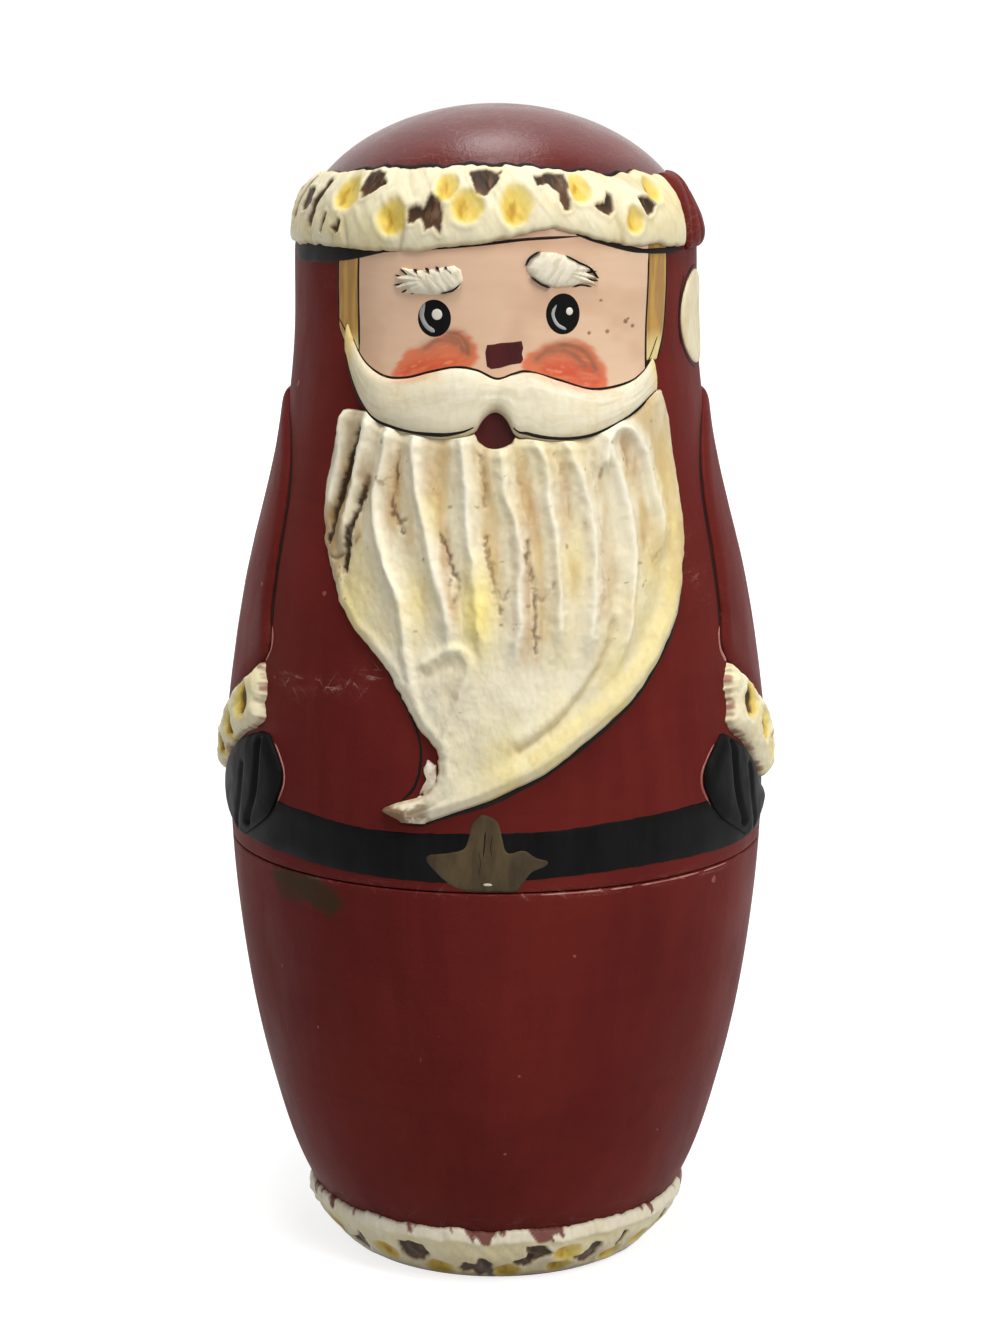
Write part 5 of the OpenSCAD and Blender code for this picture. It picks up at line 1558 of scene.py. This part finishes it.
def belt(k):
    """The painted belt and its buckle."""
    name, s = NAMES[k], size_of(k)
    body = body_of(k, "top")
    cols = int(420 * max(s, 0.5))
    th = np.linspace(-180, 180, cols, endpoint=False)
    a = np.radians(th)
    wave = lambda f, shift, seed: sway(np.cos(a) * f + shift, np.sin(a) * f + shift, seed)
    rough = 0.4 * wave(9, 30, 3) + 0.2 * wave(40, 60, 5)
    low, high = track(BELT_LOW, th) + rough, track(BELT_HIGH, th) - rough
    v = np.array([0, 0.03, 0.25, 0.5, 0.75, 0.97, 1])[:, None]
    z = low + (high - low) * v
    h = np.full(z.shape, BELT_COAT * s)
    th2 = np.broadcast_to(th, z.shape)
    sheet(name + "_belt_paint", k, th2, z, h, body, BLACK, ring=True, sink=PAINT_SINK, coarse=4)
    star = [(-2.6, 78.0), (-4.0, 77.4), (-4.9, 76.3), (-6.3, 73.1), (-9.4, 72.2), (-13.8, 71.7), (-14.5, 71.0),
        (-13.6, 69.9), (-10.2, 67.6), (-6.3, 66.5), (0.6, 66.35), (4.4, 66.5), (7.5, 69.1), (10.3, 70.0),
        (11.0, 70.8), (8.6, 71.4), (5.9, 72.6), (2.5, 72.3), (1.3, 74.9), (0.2, 77.1)]
    if k == SMALLEST:
        star = [(-1.6, 78.3), (-3.4, 77.2), (-5.7, 73.2), (-10.6, 72.4), (-13.6, 71.9), (-12.2, 69.4), (-8.4, 67),
            (-9.6, 63.6), (-8.2, 62.6), (-4.2, 64.2), (-1.4, 65), (2.6, 64), (6.2, 62.4), (7.4, 63.4), (6.2, 67),
            (9.6, 69.6), (11.2, 71.2), (7.4, 72.4), (3.2, 72.6), (1.0, 75.4), (0.0, 77.2)]
    gather(name + "_buckle_paint", [blot(k, star, 16, 0.16, soft=0.12, n=180)], body, GOLD)
    slits = [stroke(k, [(-2.0, 75.6), (-2.2, 73.6), (-2.5, 71.6)], 0.6, 0.2, taper=(0.1, 0.2), seed=3),
        stroke(k, [(-0.7, 74.8), (-1.0, 73.0), (-0.8, 71.8)], 0.3, 0.2, seed=5),
        stroke(k, [(-3.4, 72.4), (-3.0, 70.6), (-3.4, 69)], 0.25, 0.19, seed=7)]
    gather(name + "_buckle_lines", slits, body, LINE)


def chips():
    """Bare paste where the beard's edge has chipped, and the light fleck on the buckle."""
    bits = [blot(0, [(-13.8, 85.8), (-12.6, 85.4), (-11.8, 84.0), (-11.9, 82.4), (-12.8, 81.0), (-14.4, 80.2),
        (-15.4, 80.4), (-14.8, 81.6), (-14.0, 82.8), (-14.6, 84.2)], 7, 0.5, wave=0.5, n=90, seed=3),
        blot(0, [(-16.0, 80.0), (-15.0, 80.5), (-15.0, 79.5), (-16.2, 79.2)], 4, 0.3, wave=0.5, n=40, seed=5),
        blot(0, oval(-1.6, 67.5, 1.2, 0.24, 16), 4, 0.2, n=32, wave=0.6)]
    gather("outer_chipped_spots", bits, "outer_top", PASTE)
    # Pale red strokes along the seam on its lit right side: worn paint, and a painted highlight.
    worn = ((9, 22), (24, 29), (31, 47), (48.5, 57))
    rub_and_glint = [stroke(0, [(a, 65.78), (b, 65.8)], 0.26, 0.05, wobble=0.6, seed=i) for i, (a, b) in enumerate(worn)]
    gather("outer_seam_wear_and_highlight", rub_and_glint, "outer_bottom", RUBBED_AND_HIGHLIT)


for doll in range(len(NAMES)):
    turned_bodies(doll)
    hat_band(doll)
    hem(doll)
    moustache(doll)
    beard(doll)
    face(doll)
    line_work(doll)
    belt(doll)
hat_fold()
pompom()
arms()
brows()
chips()


# Stage, light and camera
FLOOR_HALF, FLOOR_GLOW, SKY = 4.0, 0.79, 0.25
# Lamps stand this many times as far off as written, so that a piece lifted high is lit as at rest
REACH = 2.5


def floor():
    """A pale floor that looks white from any side."""
    mesh = bpy.data.meshes.new("floor")
    corners = [(x * FLOOR_HALF, y * FLOOR_HALF, 0) for x, y in ((-1, -1), (1, -1), (1, 1), (-1, 1))]
    mesh.from_pydata(corners, [], [(0, 1, 2, 3)])
    obj = bpy.data.objects.new("floor", mesh)
    bpy.context.collection.objects.link(obj)
    n = Nodes("pale_floor")
    tone = n.mix(n.ramp(n.noise(6, (1, 1, 1), 2), 0.3, 0.7), (0.4, 0.4, 0.397), (0.43, 0.43, 0.427))
    path = n.add("ShaderNodeLightPath")
    seen = n.math("MAXIMUM", path.outputs["Is Camera Ray"],
        n.math("MAXIMUM", path.outputs["Is Glossy Ray"], path.outputs["Is Transmission Ray"]))
    n.shader.inputs["Specular IOR Level"].default_value = 0.0
    n.shader.inputs["Emission Color"].default_value = (1, 1, 1, 1)
    away = n.add("ShaderNodeVectorMath", operation="LENGTH")
    n.link(n.where, away.inputs[0])
    glow = n.ramp(away.outputs["Value"], 0.4, 1.0, FLOOR_GLOW, 0.98)
    n.link(n.math("MULTIPLY", seen, glow), n.shader.inputs["Emission Strength"])
    mesh.materials.append(n.done(tone, 0.9))


def lamp(name, place_at, target, size, watts, colour=(1, 1, 1)):
    """A round lamp that faces a target."""
    data = bpy.data.lights.new(name, "AREA")
    data.shape = "DISK"
    data.size = size * REACH
    data.energy = watts * REACH**2
    data.color = colour
    obj = bpy.data.objects.new(name, data)
    bpy.context.collection.objects.link(obj)
    way = np.array(target) - np.array(place_at)
    obj.location = np.array(target) - REACH * way
    obj.rotation_euler = Vector(way).to_track_quat("-Z", "Y").to_euler()


floor()
lamp("key", (0.66, -0.6, 0.8), (0, 0, 0.1), 0.55, 7.1, (1.0, 0.98, 0.95))
lamp("fill", (-0.8, -0.6, 0.4), (0, 0, 0.09), 0.7, 0.8, (0.96, 0.98, 1.0))
lamp("overhead", (0.0, -0.24, 0.95), (0, 0, 0.12), 0.3, 4.5, (1, 1, 1))
lamp("rear", (0.0, 0.31, 0.94), (0, 0, 0.15), 0.3, 1.3, (1, 1, 1))
world = bpy.data.worlds.new("studio")
bpy.context.scene.world = world
world.use_nodes = True
sky = world.node_tree.nodes["Background"]
sky.inputs["Color"].default_value = (1, 1, 1, 1)
add, link = world.node_tree.nodes.new, world.node_tree.links.new
path, where, split = add("ShaderNodeLightPath"), add("ShaderNodeTexCoord"), add("ShaderNodeSeparateXYZ")
behind, shade = add("ShaderNodeMapRange"), add("ShaderNodeMapRange")
gleam, seen = add("ShaderNodeMath"), add("ShaderNodeMath")
behind.inputs["From Min"].default_value, behind.inputs["From Max"].default_value = 0.3, 0.5
gleam.operation, seen.operation = "MULTIPLY", "MAXIMUM"
shade.inputs["To Min"].default_value = SKY
shade.inputs["To Max"].default_value = 1.0
link(where.outputs["Generated"], split.inputs["Vector"])
link(split.outputs["Y"], behind.inputs["Value"])
link(behind.outputs["Result"], gleam.inputs[0])
link(path.outputs["Is Glossy Ray"], gleam.inputs[1])
link(gleam.outputs[0], seen.inputs[0])
link(path.outputs["Is Camera Ray"], seen.inputs[1])
link(seen.outputs[0], shade.inputs["Value"])
link(shade.outputs["Result"], sky.inputs["Strength"])

SENSOR, FOCAL_PX, PICTURE_PX, PITCH = 36.0, 3067.8, 1333, 11.14
CAMERA_AT = (0.00055, -0.470, 0.184)
camera = bpy.data.cameras.new("photo_view")
camera.sensor_width = SENSOR
camera.lens = SENSOR * FOCAL_PX / PICTURE_PX
camera.clip_start = 0.01
view = bpy.data.objects.new("photo_view", camera)
bpy.context.collection.objects.link(view)
view.location = CAMERA_AT
view.rotation_euler = (math.radians(90 - PITCH), 0, 0)
bpy.context.scene.camera = view
bpy.context.scene.view_settings.view_transform = "Standard"
